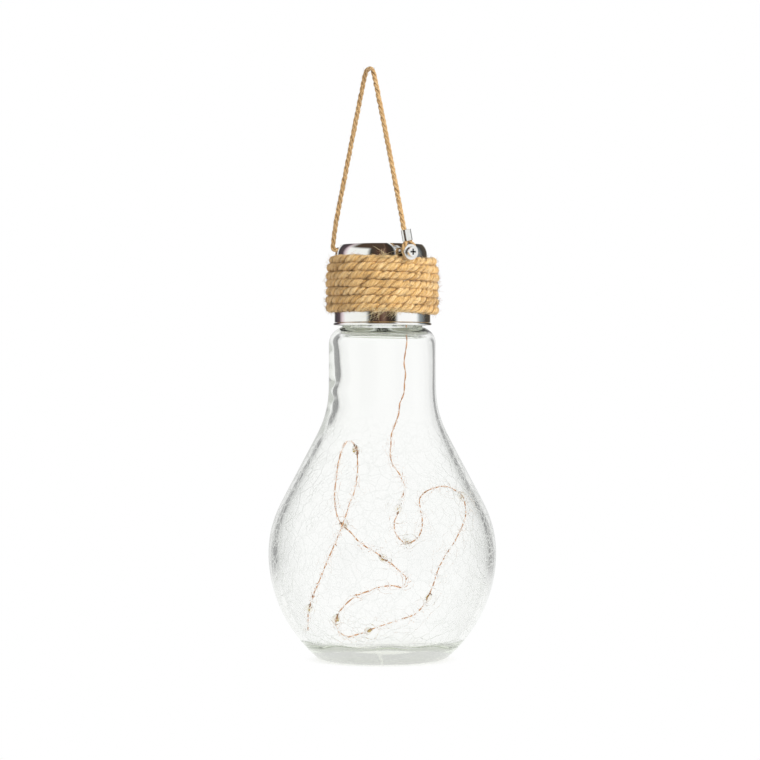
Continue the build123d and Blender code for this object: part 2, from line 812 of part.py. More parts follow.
# Hanging loop: two straight legs and a narrow fold at the top, free to swing at its ends
across = (loop_back_end - loop_front_end).normalized()
loop_route = [
    tuple(loop_front_end),
    tuple(loop_apex - across * loop_apex_half_run),
    tuple(loop_apex + across * loop_apex_half_run),
    tuple(loop_back_end),
]
loop_radii = bend_radii(loop_route)
with BuildPart() as hanging_twine:
    with BuildLine() as loop_path:
        FilletPolyline(*loop_route, radius=loop_radii)
    with BuildSketch(Plane(loop_path.line @ 0, z_dir=loop_path.line % 0)):
        Circle(loop_twine / 2)
    sweep(path=loop_path.line)
    report_tube("hanging_twine", hanging_twine.part, loop_path.line, loop_twine)
    with Locations(loop_front_end, loop_back_end):
        Sphere(loop_twine / 2)
keep(hanging_twine.part, "hanging_twine")
print("hanging_twine: bend radii", [round(radius, 1) for radius in loop_radii])
print("hanging_twine: hinge from", tuple(loop_front_end), "to", tuple(loop_back_end))

# Lamp wire: from the board through the grommet, down the neck and about the bulb
wire_top = board_top + wire_diameter / 2 + grommet_gap
wire_route = [
    (5.0, grommet_y, wire_top),
    (grommet_x, grommet_y, wire_top + 1.0),
    (grommet_x, grommet_y, 157.0),
    (10.2, -4.0, 147.0),
    (10.2, -4.0, 137.2),
    (8.5, -5.0, 129.9),
    (10.2, -4.0, 120.0),
    (8.3, -3.0, 111.8),
    (5.9, -2.0, 101.9),
    (3.5, -3.0, 93.7),
    (3.3, -5.0, 85.6),
    (6.8, -7.0, 79.6),
    (10.2, -7.0, 73.5),
    (8.0, -4.0, 68.4),
    (5.9, -1.0, 60.6),
    (5.0, 2.0, 55.0),
    (8.0, 5.0, 50.3),
    (13.2, 6.0, 49.9),
    (17.1, 4.0, 54.2),
    (17.1, 0.0, 62.8),
    (14.9, -5.0, 69.2),
    (19.2, -9.0, 73.5),
    (27.4, -7.5, 74.4),
    (32.6, -4.5, 72.0),
    (35.4, -1.5, 68.4),
    (36.8, 0.5, 62.4),
    (33.0, 3.0, 52.9),
    (27.4, 6.0, 43.9),
    (24.0, 10.0, 36.1),
    (22.2, 13.0, 28.8),
    (18.8, 15.0, 21.5),
    (12.8, 14.0, 16.8),
    (5.0, 10.0, 15.0),
    (-2.7, 4.0, 13.3),
    (-10.0, -3.0, 10.8),
    (-16.9, -8.0, 10.9),
    (-20.8, -11.0, 15.5),
    (-18.2, -13.0, 21.9),
    (-12.6, -14.0, 28.0),
    (-4.9, -14.0, 31.4),
    (3.7, -13.0, 32.7),
    (9.8, -11.0, 31.8),
    (11.5, -10.0, 35.0),
    (8.0, -9.0, 38.3),
    (3.3, -8.0, 41.7),
    (-2.7, -8.0, 46.4),
    (-8.3, -9.0, 49.9),
    (-13.9, -11.0, 55.0),
    (-19.0, -14.0, 60.6),
    (-20.1, -17.0, 69.7),
    (-19.0, -18.0, 80.8),
    (-17.3, -17.0, 89.0),
    (-15.0, -15.5, 93.9),
    (-12.0, -13.0, 93.7),
    (-10.2, -12.0, 86.4),
    (-10.4, -12.0, 77.0),
    (-13.9, -13.0, 65.8),
    (-19.0, -15.0, 52.5),
    (-25.1, -17.0, 37.4),
    (-29.4, -17.0, 27.5),
    (-31.5, -14.0, 19.4),
    (-31.5, -9.0, 13.3),
]
wire_radii = bend_radii(wire_route)
with BuildPart() as fairy_wire:
    with BuildLine() as wire_path:
        FilletPolyline(*wire_route, radius=wire_radii)
    with BuildSketch(Plane(wire_path.line @ 0, z_dir=wire_path.line % 0)):
        Circle(wire_diameter / 2)
    sweep(path=wire_path.line)
keep(fairy_wire.part, "fairy_wire")
report_tube("fairy_wire", fairy_wire.part, wire_path.line, wire_diameter)
print("fairy_wire: bend radii", [round(radius, 1) for radius in wire_radii])


def drop_plane(run):
    """Plane at the middle of a run of the wire, with its normal along the wire."""
    start = Vector(*wire_route[run])
    end = Vector(*wire_route[run + 1])
    return Plane((start + end) * 0.5, z_dir=end - start)


# LED chips beside the wire, each cast with it into a clear drop
led_offset = wire_diameter / 2 + led_gap + led_height / 2
led_reach = led_offset + led_height / 2
with BuildPart() as led_chips:
    for run in drop_runs:
        with BuildSketch(drop_plane(run).offset(-led_length / 2)):
            with Locations((led_offset, 0)):
                Rectangle(led_height, led_width)
        extrude(amount=led_length)
keep(led_chips.part, "led_chips")

with BuildPart() as led_drops:
    for run in drop_runs:
        across_drop = drop_plane(run)
        along_drop = Plane(across_drop.origin, x_dir=across_drop.x_dir, z_dir=-across_drop.y_dir)
        with BuildSketch(along_drop):
            with BuildLine():
                EllipticalCenterArc((0, 0), drop_radius, drop_length / 2, -90, arc_size=180)
                Line((0, drop_length / 2), (0, -drop_length / 2))
            make_face()
        revolve(axis=Axis(across_drop.origin, across_drop.z_dir))
    for run in drop_runs:
        with BuildSketch(drop_plane(run).offset(-drop_length / 2)):
            Circle(wire_diameter / 2 - drop_bite)
        extrude(amount=drop_length, mode=Mode.SUBTRACT)
        with BuildSketch(drop_plane(run).offset(-led_length / 2)):
            with Locations((led_reach / 2, 0)):
                Rectangle(led_reach, led_width)
        extrude(amount=led_length, mode=Mode.SUBTRACT)
keep(led_drops.part, "led_drops")
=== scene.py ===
# %% [markdown]
# # A hanging bulb jar light
# The object is a clear crackle-glass jar in the shape of a light bulb. A shiny cap closes it, jute is
# wound round the cap, and a loop of thin twine carries it. A copper wire with small lamps lies inside.
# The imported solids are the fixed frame. This lesson adds the finish, the twine, the glass and the wire.

# %% Load the frame
import math
import random

import bpy
import numpy as np
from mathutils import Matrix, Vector


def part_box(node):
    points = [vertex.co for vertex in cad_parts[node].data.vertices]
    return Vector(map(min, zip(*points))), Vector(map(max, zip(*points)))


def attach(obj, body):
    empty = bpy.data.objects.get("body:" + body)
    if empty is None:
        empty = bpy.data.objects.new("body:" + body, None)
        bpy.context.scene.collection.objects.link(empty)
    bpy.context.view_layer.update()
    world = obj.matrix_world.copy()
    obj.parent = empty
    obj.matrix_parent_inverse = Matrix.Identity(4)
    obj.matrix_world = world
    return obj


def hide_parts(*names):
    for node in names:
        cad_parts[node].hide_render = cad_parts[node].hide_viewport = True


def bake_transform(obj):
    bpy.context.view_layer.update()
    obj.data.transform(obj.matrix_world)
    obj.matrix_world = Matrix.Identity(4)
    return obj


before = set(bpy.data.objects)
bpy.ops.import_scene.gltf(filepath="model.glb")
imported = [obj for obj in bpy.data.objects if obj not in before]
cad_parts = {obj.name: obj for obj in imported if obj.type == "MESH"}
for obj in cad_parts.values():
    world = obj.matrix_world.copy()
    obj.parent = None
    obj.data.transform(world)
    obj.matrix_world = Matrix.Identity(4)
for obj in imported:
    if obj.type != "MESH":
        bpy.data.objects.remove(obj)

MM = 0.001
scene = bpy.context.scene
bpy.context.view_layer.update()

# %% [markdown]
# ## Camera
# The jar was photographed level, from about a metre away, with its foot and cap both seen almost edge
# on. A level camera at the height of the picture's middle gives that view with no tilt and no shift.

# %% Camera
PHOTO_PIXELS = 760
METRES_PER_PIXEL = 0.00043
AXIS_PIXEL = 382.3
TABLE_PIXEL = 659.0
CAMERA_DISTANCE = 1.1

half_width = PHOTO_PIXELS / 2 * METRES_PER_PIXEL
camera_x = (PHOTO_PIXELS / 2 - AXIS_PIXEL) * METRES_PER_PIXEL
camera_z = (TABLE_PIXEL - PHOTO_PIXELS / 2) * METRES_PER_PIXEL
bpy.ops.object.camera_add(location=(camera_x, -CAMERA_DISTANCE, camera_z), rotation=(math.pi / 2, 0, 0))
camera = bpy.context.object
camera.data.angle = 2 * math.atan(half_width / CAMERA_DISTANCE)
scene.camera = camera
print("camera stands", round(camera_z, 3), "m above the table")

# %% [markdown]
# ## Lines and tubes
# Twine, wire and fibres are tubes along a line. A curve with a bevel makes one smooth tube, but plied
# twine needs many that twist together, and a texture map that follows each of them. So the lines are
# worked out as points, and a small class collects the tubes round them and makes one mesh at the end.

# %% Lines
TINY = 1e-12
LEAST_CROSS = 0.1
CURVE_STEPS = 12


def unit(vectors):
    """Vectors of length one."""
    return vectors / np.maximum(np.linalg.norm(vectors, axis=-1, keepdims=True), TINY)


def frames_along(line):
    """Tangents of a line, and two directions across it that turn as little as they can."""
    tangents = unit(np.gradient(line, axis=0))
    across = np.zeros_like(line)
    start = np.cross(tangents[0], (0.0, 0.0, 1.0))
    if np.linalg.norm(start) < LEAST_CROSS:
        start = np.cross(tangents[0], (1.0, 0.0, 0.0))
    across[0] = unit(start)
    for index in range(1, len(line)):
        kept = across[index - 1] - tangents[index] * np.dot(across[index - 1], tangents[index])
        across[index] = unit(kept)
    return tangents, across, np.cross(tangents, across)


def lengths_along(line):
    """Distance from the start of a line to each of its points."""
    return np.concatenate([[0.0], np.cumsum(np.linalg.norm(np.diff(line, axis=0), axis=1))])


def evenly(line, step):
    """The same line with points a step apart."""
    along = lengths_along(line)
    places = np.linspace(0.0, along[-1], max(2, round(along[-1] / step) + 1))
    return np.stack([np.interp(places, along, line[:, axis]) for axis in range(3)], axis=1)


def smooth_route(name, points):
    """Points of a NURBS line that has a route's points as its control points."""
    curve = bpy.data.curves.new(name, "CURVE")
    curve.dimensions = "3D"
    spline = curve.splines.new("NURBS")
    spline.points.add(len(points) - 1)
    for control, place in zip(spline.points, points):
        control.co = (*place, 1.0)
    spline.order_u = 3
    spline.use_endpoint_u = True
    spline.resolution_u = CURVE_STEPS
    holder = bpy.data.objects.new(name, curve)
    mesh = bpy.data.meshes.new_from_object(holder)
    line = np.array([vertex.co for vertex in mesh.vertices], float)
    bpy.data.meshes.remove(mesh)
    bpy.data.objects.remove(holder)
    bpy.data.curves.remove(curve)
    return line


# %% Tubes
CENTIMETRE = 0.01
END_MAP = 0.5


class TubeMesh:
    """Tubes that become one mesh, with U along each tube in centimetres and V round it."""

    def __init__(self):
        self.points = []
        self.faces = []
        self.maps = []
        self.count = 0

    def add(self, line, radii, sides, across, other, first_angle=0.0, start=0.0):
        """Add a closed tube along a line, with a ring of sides at each point."""
        rings = len(line)
        angles = np.linspace(0.0, 2 * math.pi, sides, endpoint=False)
        turn = np.asarray(first_angle).reshape(-1, 1) + angles
        reach = np.asarray(radii).reshape(-1, 1, 1)
        spokes = np.cos(turn)[..., None] * across[:, None] + np.sin(turn)[..., None] * other[:, None]
        self.points.append((line[:, None] + reach * spokes).reshape(-1, 3))
        along = start + lengths_along(line) / CENTIMETRE
        for ring in range(rings - 1):
            low = self.count + ring * sides
            high = low + sides
            for side in range(sides):
                after = (side + 1) % sides
                self.faces.append((low + side, low + after, high + after, high + side))
                near, far = side / sides, (side + 1) / sides
                below, above = along[ring], along[ring + 1]
                self.maps += [(below, near), (below, far), (above, far), (above, near)]
        end = self.count + (rings - 1) * sides
        self.faces.append(tuple(self.count + side for side in reversed(range(sides))))
        self.faces.append(tuple(end + side for side in range(sides)))
        self.maps += [(along[0], END_MAP)] * sides + [(along[-1], END_MAP)] * sides
        self.count += rings * sides

    def finish(self, name, material):
        """One smooth-shaded object of all the tubes."""
        mesh = bpy.data.meshes.new(name)
        mesh.from_pydata(np.concatenate(self.points).tolist(), [], self.faces)
        layer = mesh.uv_layers.new(name="along")
        layer.data.foreach_set("uv", np.array(self.maps, np.float32).ravel())
        mesh.polygons.foreach_set("use_smooth", [True] * len(mesh.polygons))
        mesh.materials.append(material)
        piece = bpy.data.objects.new(name, mesh)
        scene.collection.objects.link(piece)
        print(name, "has", len(mesh.polygons), "faces")
        return piece


# %% [markdown]
# ## Materials: shared effects
# Handled metal and moulded plastic are one colour broken up a little, with a roughness that changes in
# small patches. Jute is spun of fibres that run round each strand at a slant. Either could be built
# again in every material. A node group is built once instead, and placed in each material with its own
# values. Small helpers add the nodes, so that a tree reads like the sum it works out.

# %% Node helpers
FLOAT = "NodeSocketFloat"
COLOUR = "NodeSocketColor"
VECTOR = "NodeSocketVector"
SMOOTH = "SMOOTHSTEP"
WHITE = (1, 1, 1, 1)


def feed(tree, node, inputs):
    """Give a node's inputs, by name or number, their plain values or their links from sockets."""
    for label, value in inputs.items():
        if hasattr(value, "is_linked"):
            tree.links.new(value, node.inputs[label])
        else:
            node.inputs[label].default_value = value
    return node


def add_node(tree, kind, inputs=None, **settings):
    """A new node with its settings and inputs."""
    node = tree.nodes.new(kind)
    for label, value in settings.items():
        setattr(node, label, value)
    return feed(tree, node, inputs or {})


def maths(tree, operation, *values):
    """The result of a Math node on sockets or plain numbers."""
    return add_node(tree, "ShaderNodeMath", dict(enumerate(values)), operation=operation).outputs[0]


def vector_maths(tree, operation, *values, result="Vector"):
    """The Vector of a Vector Math node, or its Value where that is asked for."""
    node = add_node(tree, "ShaderNodeVectorMath", dict(enumerate(values)), operation=operation)
    return node.outputs[result]


def ranged(tree, value, start, end, low=0.0, high=1.0, kind="LINEAR"):
    """A value carried over from one range to another, and held at the ends."""
    inputs = {"Value": value, "From Min": start, "From Max": end, "To Min": low, "To Max": high}
    return add_node(tree, "ShaderNodeMapRange", inputs, interpolation_type=kind).outputs["Result"]


def blended(tree, share, first, second):
    """A colour between two colours."""
    return add_node(tree, "ShaderNodeMix", {0: share, 6: first, 7: second}, data_type="RGBA").outputs[2]


def noise(tree, vector, scale, detail, **more):
    """The outputs of a Noise Texture."""
    inputs = {"Vector": vector, "Scale": scale, "Detail": detail, **more}
    return add_node(tree, "ShaderNodeTexNoise", inputs).outputs


def split(tree, vector):
    """The X, Y and Z of a vector."""
    return add_node(tree, "ShaderNodeSeparateXYZ", {0: vector}).outputs


def object_place(tree):
    """Object coordinates, which stay on a piece when it moves."""
    return tree.nodes.new("ShaderNodeTexCoord").outputs["Object"]


def placed(tree, group, **inputs):
    """The outputs of a node group, placed with its own values."""
    named = {label.replace("_", " ").title(): value for label, value in inputs.items()}
    return add_node(tree, "ShaderNodeGroup", named, node_tree=group).outputs


def raised(tree, height, distance):
    """The normal of a bump."""
    return add_node(tree, "ShaderNodeBump", {"Height": height, "Distance": distance}).outputs["Normal"]


def either(tree, share, first, second):
    """One shader where a share is 0, and another where it is 1."""
    return add_node(tree, "ShaderNodeMixShader", {0: share, 1: first, 2: second}).outputs[0]


# %% Groups and materials
def new_group(name, inputs, outputs):
    """An empty shader node group with named sockets, what it is given, and its output node."""
    group = bpy.data.node_groups.new(name, "ShaderNodeTree")
    for label, kind, value in inputs:
        socket = group.interface.new_socket(name=label, in_out="INPUT", socket_type=kind)
        if value is not None:
            socket.default_value = value
    for label, kind in outputs:
        group.interface.new_socket(name=label, in_out="OUTPUT", socket_type=kind)
    return group, group.nodes.new("NodeGroupInput").outputs, group.nodes.new("NodeGroupOutput")


def new_material(name):
    """A material with a bare Principled shader, its node tree and that shader."""
    material = bpy.data.materials.new(name)
    material.use_nodes = True
    tree = material.node_tree
    return material, tree, tree.nodes["Principled BSDF"]


# %% Patina
PATCH_SPREAD = (0.3, 0.7)
ROUGH_SPREAD = (0.1, 0.4)


def make_patina():
    """Patches of tone and fine grain: a colour, a roughness and a height."""
    group, given, result = new_group(
        "patina",
        [
            ("Vector", VECTOR, None),
            ("Colour", COLOUR, (0.5, 0.5, 0.5, 1)),
            ("Second Colour", COLOUR, (0.4, 0.4, 0.4, 1)),
            ("Patch Scale", FLOAT, 60.0),
            ("Grain Scale", FLOAT, 900.0),
            ("Least Roughness", FLOAT, 0.2),
            ("Most Roughness", FLOAT, 0.4),
        ],
        [("Colour", COLOUR), ("Roughness", FLOAT), ("Height", FLOAT)],
    )
    patches = noise(group, given["Vector"], given["Patch Scale"], 3.0)["Fac"]
    grain = noise(group, given["Vector"], given["Grain Scale"], 2.0)["Fac"]
    spread = ranged(group, patches, *PATCH_SPREAD)
    tone = blended(group, spread, given["Colour"], given["Second Colour"])
    both = maths(group, "MULTIPLY", patches, grain)
    rough = ranged(group, both, *ROUGH_SPREAD, given["Least Roughness"], given["Most Roughness"])
    feed(group, result, {"Colour": tone, "Roughness": rough, "Height": grain})
    return group


PATINA = make_patina()
print("patina group has", len(PATINA.nodes), "nodes")

# %% Spun fibre
FIBRE_STRETCH = 2.2
FIBRE_FINENESS = 10.0
FIBRE_ROUGHNESS = 0.72
TUFT_SCALE = 0.9
# Painted shade on the side of each strand that turns in towards the middle of the twine
GROOVE_SHADE_REACH = (0.18, 0.38)
GROOVE_PAINTED_SHADE = -0.38
TUFT_SHARE = 0.35
FIBRE_TONES = (0.40, 0.90)
BODY_TONE = 0.45


def make_spun_fibre():
    """Fibres that run round a strand at a slant: a colour from dark to light, with painted shade on the
    side of each strand that faces the twine's middle, and a height.
    """
    group, given, result = new_group(
        "spun_fibre",
        [
            ("Vector", VECTOR, None),
            ("Slant", FLOAT, 1.0),
            ("Shade", COLOUR, (0.3, 0.17, 0.07, 1)),
            ("Body", COLOUR, (0.6, 0.38, 0.17, 1)),
            ("Shine", COLOUR, (0.85, 0.62, 0.32, 1)),
        ],
        [("Colour", COLOUR), ("Height", FLOAT)],
    )
    strand = split(group, given["Vector"])
    slanted = maths(group, "MULTIPLY_ADD", strand["X"], given["Slant"], strand["Y"])
    lengthwise = maths(group, "MULTIPLY", strand["X"], FIBRE_STRETCH)
    crosswise = maths(group, "MULTIPLY", slanted, FIBRE_FINENESS)
    place = add_node(group, "ShaderNodeCombineXYZ", {"X": lengthwise, "Y": crosswise}).outputs[0]
    fibres = noise(group, place, 1.0, 5.0, Roughness=FIBRE_ROUGHNESS)["Fac"]
    lengths = noise(group, given["Vector"], TUFT_SCALE, 2.0)["Fac"]
    # Painted shade: the side of each strand that faces the middle of the twine is darkened
    turned = maths(group, "ABSOLUTE", maths(group, "SUBTRACT", strand["Y"], 0.5))
    groove_shade = ranged(group, turned, *GROOVE_SHADE_REACH, 0.0, GROOVE_PAINTED_SHADE)
    tufts_and_groove_shade = maths(group, "MULTIPLY_ADD", lengths, TUFT_SHARE, groove_shade)
    tone = ranged(group, maths(group, "ADD", fibres, tufts_and_groove_shade), *FIBRE_TONES)
    darker = blended(group, ranged(group, tone, 0.0, BODY_TONE), given["Shade"], given["Body"])
    lighter = blended(group, ranged(group, tone, BODY_TONE, 1.0), darker, given["Shine"])
    feed(group, result, {"Colour": lighter, "Height": fibres})
    return group


SPUN_FIBRE = make_spun_fibre()
print("spun fibre group has", len(SPUN_FIBRE.nodes), "nodes")


# %% Two families of finish
def solid_finish(
    name, colour, second, rough, metallic=0.0, patch=60.0, grain=900.0, bump=0.00001, plain=None
):
    """A moulded or metal finish: the patina group on object coordinates, and plain shader values."""
    material, tree, principled = new_material(name)
    patina = placed(
        tree,
        PATINA,
        vector=object_place(tree),
        colour=(*colour, 1.0),
        second_colour=(*second, 1.0),
        patch_scale=patch,
        grain_scale=grain,
        least_roughness=rough[0],
        most_roughness=rough[1],
    )
    surface = {
        "Base Color": patina["Colour"],
        "Roughness": patina["Roughness"],
        "Normal": raised(tree, patina["Height"], bump),
        "Metallic": metallic,
    }
    feed(tree, principled, surface | (plain or {}))
    return material


JUTE_BUMP = 0.0006
JUTE_SURFACE = {"Roughness": 0.75, "Sheen Weight": 0.3, "Sheen Roughness": 0.4}


def jute_finish(name, shade, body, shine, slant):
    """Spun jute, with fibres that follow each strand's own texture map."""
    material, tree, principled = new_material(name)
    along = add_node(tree, "ShaderNodeUVMap", uv_map="along").outputs["UV"]
    tones = {"shade": (*shade, 1.0), "body": (*body, 1.0), "shine": (*shine, 1.0)}
    fibre = placed(tree, SPUN_FIBRE, vector=along, slant=slant, **tones)
    normal = raised(tree, fibre["Height"], JUTE_BUMP)
    feed(tree, principled, {"Base Color": fibre["Colour"], "Normal": normal, **JUTE_SURFACE})
    return material


# %% [markdown]
# ## Cords
# The twine is spun from several strands. A single tube with a bump would look printed at its edge, so a
# smooth line is drawn first, and the strands are twisted round it, each a tube of its own. Short loose
# fibres stand off the surface, as on real jute.

# %% Plied twine
PLY_STEP = 4.0 * MM
MOST_WAVER = 1.8
WAVER_TURN = 2.6
WAVER_REACH = 0.05
WAVER_LAG = 9
PLY_MAP_STEP = 37.0


def add_plies(tubes, line, radius, plies, lay, sides, seed, strand_share=0.56, uneven=0.07):
    """Twist strands round a line so that together they make a twine of that radius."""
    rng = np.random.default_rng(seed)
    tangents, across, other = frames_along(line)
    along = lengths_along(line)
    for ply in range(plies):
        knots = np.linspace(0, along[-1], max(4, int(along[-1] / PLY_STEP)))
        draws = np.clip(rng.normal(0, 1, len(knots)), -MOST_WAVER, MOST_WAVER)
        waver = np.interp(along, knots, draws)
        turn = 2 * math.pi * (along / lay + ply / plies) + uneven * WAVER_TURN * waver
        strand = radius * strand_share * (1 + uneven * np.roll(waver, WAVER_LAG))
        reach = (radius - radius * strand_share) * (1 + WAVER_REACH * waver)
        outward = np.cos(turn)[:, None] * across + np.sin(turn)[:, None] * other
        centre = line + reach[:, None] * outward
        side = np.cross(tangents, outward)
        tubes.add(centre, strand, sides, outward, side, first_angle=math.pi, start=PLY_MAP_STEP * ply)
    return tangents, across, other


# %% Loose fibres
FIBRE_POINTS = 4
FIBRE_SIDES = 3
FIBRE_ROOT = 0.84
FIBRE_CURL = 0.3
FIBRE_LENGTHS = (0.4, 1.0)
FIBRE_RISES = (0.2, 1.0)
FIBRE_WIDTHS = (0.7, 1.3)
FIBRE_TAPER = 0.7
FIBRE_MAPS = 400


def add_fibres(tubes, line, directions, radius, count, reach, thickness, seed, lift):
    """Loose fibres that start on the surface of a twine and curl away from it."""
    rng = np.random.default_rng(seed)
    tangents, across, other = directions
    for _ in range(count):
        index = int(rng.integers(2, len(line) - 2))
        angle = rng.uniform(0, 2 * math.pi)
        outward = math.cos(angle) * across[index] + math.sin(angle) * other[index]
        sideways = np.cross(tangents[index], outward)
        heading = tangents[index] * rng.choice((-1, 1)) + sideways * rng.normal(0, 0.5)
        length = reach * rng.uniform(*FIBRE_LENGTHS)
        curl = rng.normal(0, 0.6)
        rise = lift * rng.uniform(*FIBRE_RISES)
        t = np.linspace(0, 1, FIBRE_POINTS)[:, None]
        root = line[index] + outward * radius * FIBRE_ROOT
        away = rise * t**1.5 * outward + FIBRE_CURL * curl * t**2 * sideways
        points = root + length * (t * unit(heading) + away)
        _, fibre_across, fibre_other = frames_along(points)
        thin = thickness * rng.uniform(*FIBRE_WIDTHS) * (1 - FIBRE_TAPER * t[:, 0])
        tubes.add(points, thin, FIBRE_SIDES, fibre_across, fibre_other, start=rng.uniform(0, FIBRE_MAPS))


# %% Jute finishes
# Shade, body and shine of the fibres, and their slant
JUTES = {
    "jute_wound": ((0.24, 0.105, 0.028), (0.68, 0.41, 0.145), (0.97, 0.77, 0.45), 0.9),
    "jute_loose": ((0.34, 0.17, 0.05), (0.66, 0.42, 0.17), (0.96, 0.77, 0.46), 0.2),
    "jute_pale": ((0.80, 0.62, 0.30), (0.92, 0.76, 0.44), (1.0, 0.90, 0.62), 0.2),
    "jute_thin": ((0.27, 0.15, 0.055), (0.60, 0.37, 0.16), (0.86, 0.62, 0.34), 1.4),
}
jutes = {name: jute_finish(name, *tones) for name, tones in JUTES.items()}
print("jute comes as", ", ".join(jutes))

# %% [markdown]
# ## Jute round the cap
# Seven rows of jute are wound round the cap by hand. They lie almost level in front and step down
# behind. A helix would be shorter to write, but would slant in front too. So the line is worked out as
# half turns, each a tilted half circle, just as the solid winding is, and then wanders a little.

# %% Line of the winding
CAP_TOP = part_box("cap_shell")[1][2]
WAIST_RADIUS = 19.4 * MM
BAND_RADIUS = 20.85 * MM
TAPER_START = CAP_TOP - 12.5 * MM
TAPER_END = CAP_TOP - 7.0 * MM
WRAP_TOP = CAP_TOP - 6.5 * MM
WRAP_TWINE = 2.95 * MM
WRAP_PITCH = 3.42 * MM
WRAP_HALF_TURNS = 13
WRAP_START = math.radians(190.0)
WRAP_FRONT_DROP = 0.3
WRAP_GRIP = 1.0 * MM
WRAP_GAP = 0.15 * MM
POINTS_PER_HALF_TURN = 16
WRAP_STEP = 0.75 * MM
WANDER_REACH = 16.0 * MM
WANDER_UP = 0.15 * MM
WANDER_OUT = 0.5 * WANDER_UP


def cap_radius_at(height):
    """Outside radius of the cap's side at a height."""
    share = (height - TAPER_START) / (TAPER_END - TAPER_START)
    return BAND_RADIUS - (BAND_RADIUS - WAIST_RADIUS) * min(max(share, 0.0), 1.0)


def wrap_line():
    """Points round the cap, half turn by half turn, from the top row to the bottom one."""
    height = WRAP_TOP
    points = []
    corner = 1 / math.cos(math.pi / POINTS_PER_HALF_TURN / 2)
    for half in range(WRAP_HALF_TURNS):
        share = WRAP_FRONT_DROP if half % 2 == 0 else 1 - WRAP_FRONT_DROP
        lower = height - share * WRAP_PITCH
        here = cap_radius_at(height - WRAP_GRIP) + WRAP_GAP + WRAP_TWINE / 2
        there = cap_radius_at(lower - WRAP_GRIP) + WRAP_GAP + WRAP_TWINE / 2
        for step in range(POINTS_PER_HALF_TURN + (half == WRAP_HALF_TURNS - 1)):
            turn = math.pi * step / POINTS_PER_HALF_TURN
            done = (1 - math.cos(turn)) / 2
            radius = (here + (there - here) * done) * corner
            angle = WRAP_START + math.pi * half + turn
            level = height + (lower - height) * done
            points.append((radius * math.cos(angle), radius * math.sin(angle), level))
        height = lower
    return points


def wander(line, seed):
    """Shift a wound line up and down and in and out a little, as hand winding does."""
    rng = np.random.default_rng(seed)
    along = lengths_along(line)
    knots = np.linspace(0, along[-1], int(along[-1] / WANDER_REACH))
    up = np.interp(along, knots, rng.normal(0, WANDER_UP, len(knots)))
    out = np.interp(along, knots, rng.normal(0, WANDER_OUT, len(knots)))
    away = unit(line * (1, 1, 0))
    return line + away * out[:, None] + np.array((0, 0, 1)) * up[:, None]


wrap_route = wander(evenly(smooth_route("wrap_route", wrap_line()), WRAP_STEP), seed=2)
print("winding takes", round(float(lengths_along(wrap_route)[-1]), 3), "m of jute")

# %% Strands and fuzz of the winding
WRAP_LOOK = 3.9 * MM
WRAP_LAY = -9.0 * MM
# Count, reach, thickness, seed and lift of each kind of fibre
FUZZ = [
    (4200, 5.0 * MM, 0.075 * MM, 5, 0.16),
    (1600, 3.2 * MM, 0.05 * MM, 6, 0.5),
]

wrap_tubes = TubeMesh()
wrap_directions = add_plies(
    wrap_tubes,
    wrap_route,
    WRAP_LOOK / 2,
    plies=3,
    lay=WRAP_LAY,
    sides=10,
    seed=3,
    strand_share=0.66,
    uneven=0.11,
)
fuzz_tubes = TubeMesh()
for fuzz in FUZZ:
    add_fibres(fuzz_tubes, wrap_route, wrap_directions, WRAP_LOOK / 2, *fuzz)
jute_fuzz = fuzz_tubes.finish("jute_fuzz", jutes["jute_loose"])
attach(jute_fuzz, "cap")

# %% Stray fibres over the cap
FRONT_DEPTH = -19.0 * MM
FRONT_SIDES = (-6.0 * MM, 7.0 * MM)
ROW_DEPTH = 2.0 * MM
STRAY_POINTS = 9
STRAY_SIDES = 4
STRAY_STAND = 1.6 * MM
STRAY_SWAY = 1.0 * MM
STRAY_BEND = 0.7
STRAY_THICKNESS = 0.10 * MM
STRAY_LENGTHS = (0.35, 1.0)
STRAY_WIDTHS = (0.6, 1.2)
STRAY_TAPER = 0.6


def add_stray_fibres(tubes, starts, way, count, reach, seed):
    """Long fibres that stand off the jute one way and lie over the bright cap."""
    rng = np.random.default_rng(seed)
    t = np.linspace(0, 1, STRAY_POINTS)[:, None]
    for _ in range(count):
        start = starts[int(rng.integers(0, len(starts)))]
        outward = unit(start * (1, 1, 0))
        sideways = np.cross((0, 0, 1), outward)
        length = reach * rng.uniform(*STRAY_LENGTHS)
        slope = rng.normal(0, 0.8)
        bend = rng.normal(0, 1.0)
        drop = np.array((0, 0, way)) * t * rng.uniform(0.5, 1.0)
        stand = outward * (STRAY_STAND + STRAY_SWAY * np.sin(t * rng.uniform(1.5, 3.0)))
        points = start + stand + length * (drop + sideways * (slope * t + bend * t**2 * STRAY_BEND))
        _, across, other = frames_along(points)
        thin = STRAY_THICKNESS * rng.uniform(*STRAY_WIDTHS) * (1 - STRAY_TAPER * t[:, 0])
        tubes.add(points, thin, STRAY_SIDES, across, other, start=rng.uniform(0, FIBRE_MAPS))


wrap_x, wrap_y, _ = wrap_route.T
at_front = wrap_route[(wrap_y < FRONT_DEPTH) & (wrap_x > FRONT_SIDES[0]) & (wrap_x < FRONT_SIDES[1])]
levels = at_front[:, 2]
bottom_row = at_front[levels < levels.min() + ROW_DEPTH]
top_row = at_front[levels > levels.max() - ROW_DEPTH]
stray_tubes = TubeMesh()
add_stray_fibres(stray_tubes, bottom_row, -1.0, 30, 6.5 * MM, seed=7)
add_stray_fibres(stray_tubes, top_row, 1.0, 18, 6.0 * MM, seed=8)
jute_strays = stray_tubes.finish("jute_strays", jutes["jute_pale"])
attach(jute_strays, "cap")
jute_wrap = wrap_tubes.finish("jute_wrap", jutes["jute_wound"])
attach(jute_wrap, "cap")
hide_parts("twine_wrap")
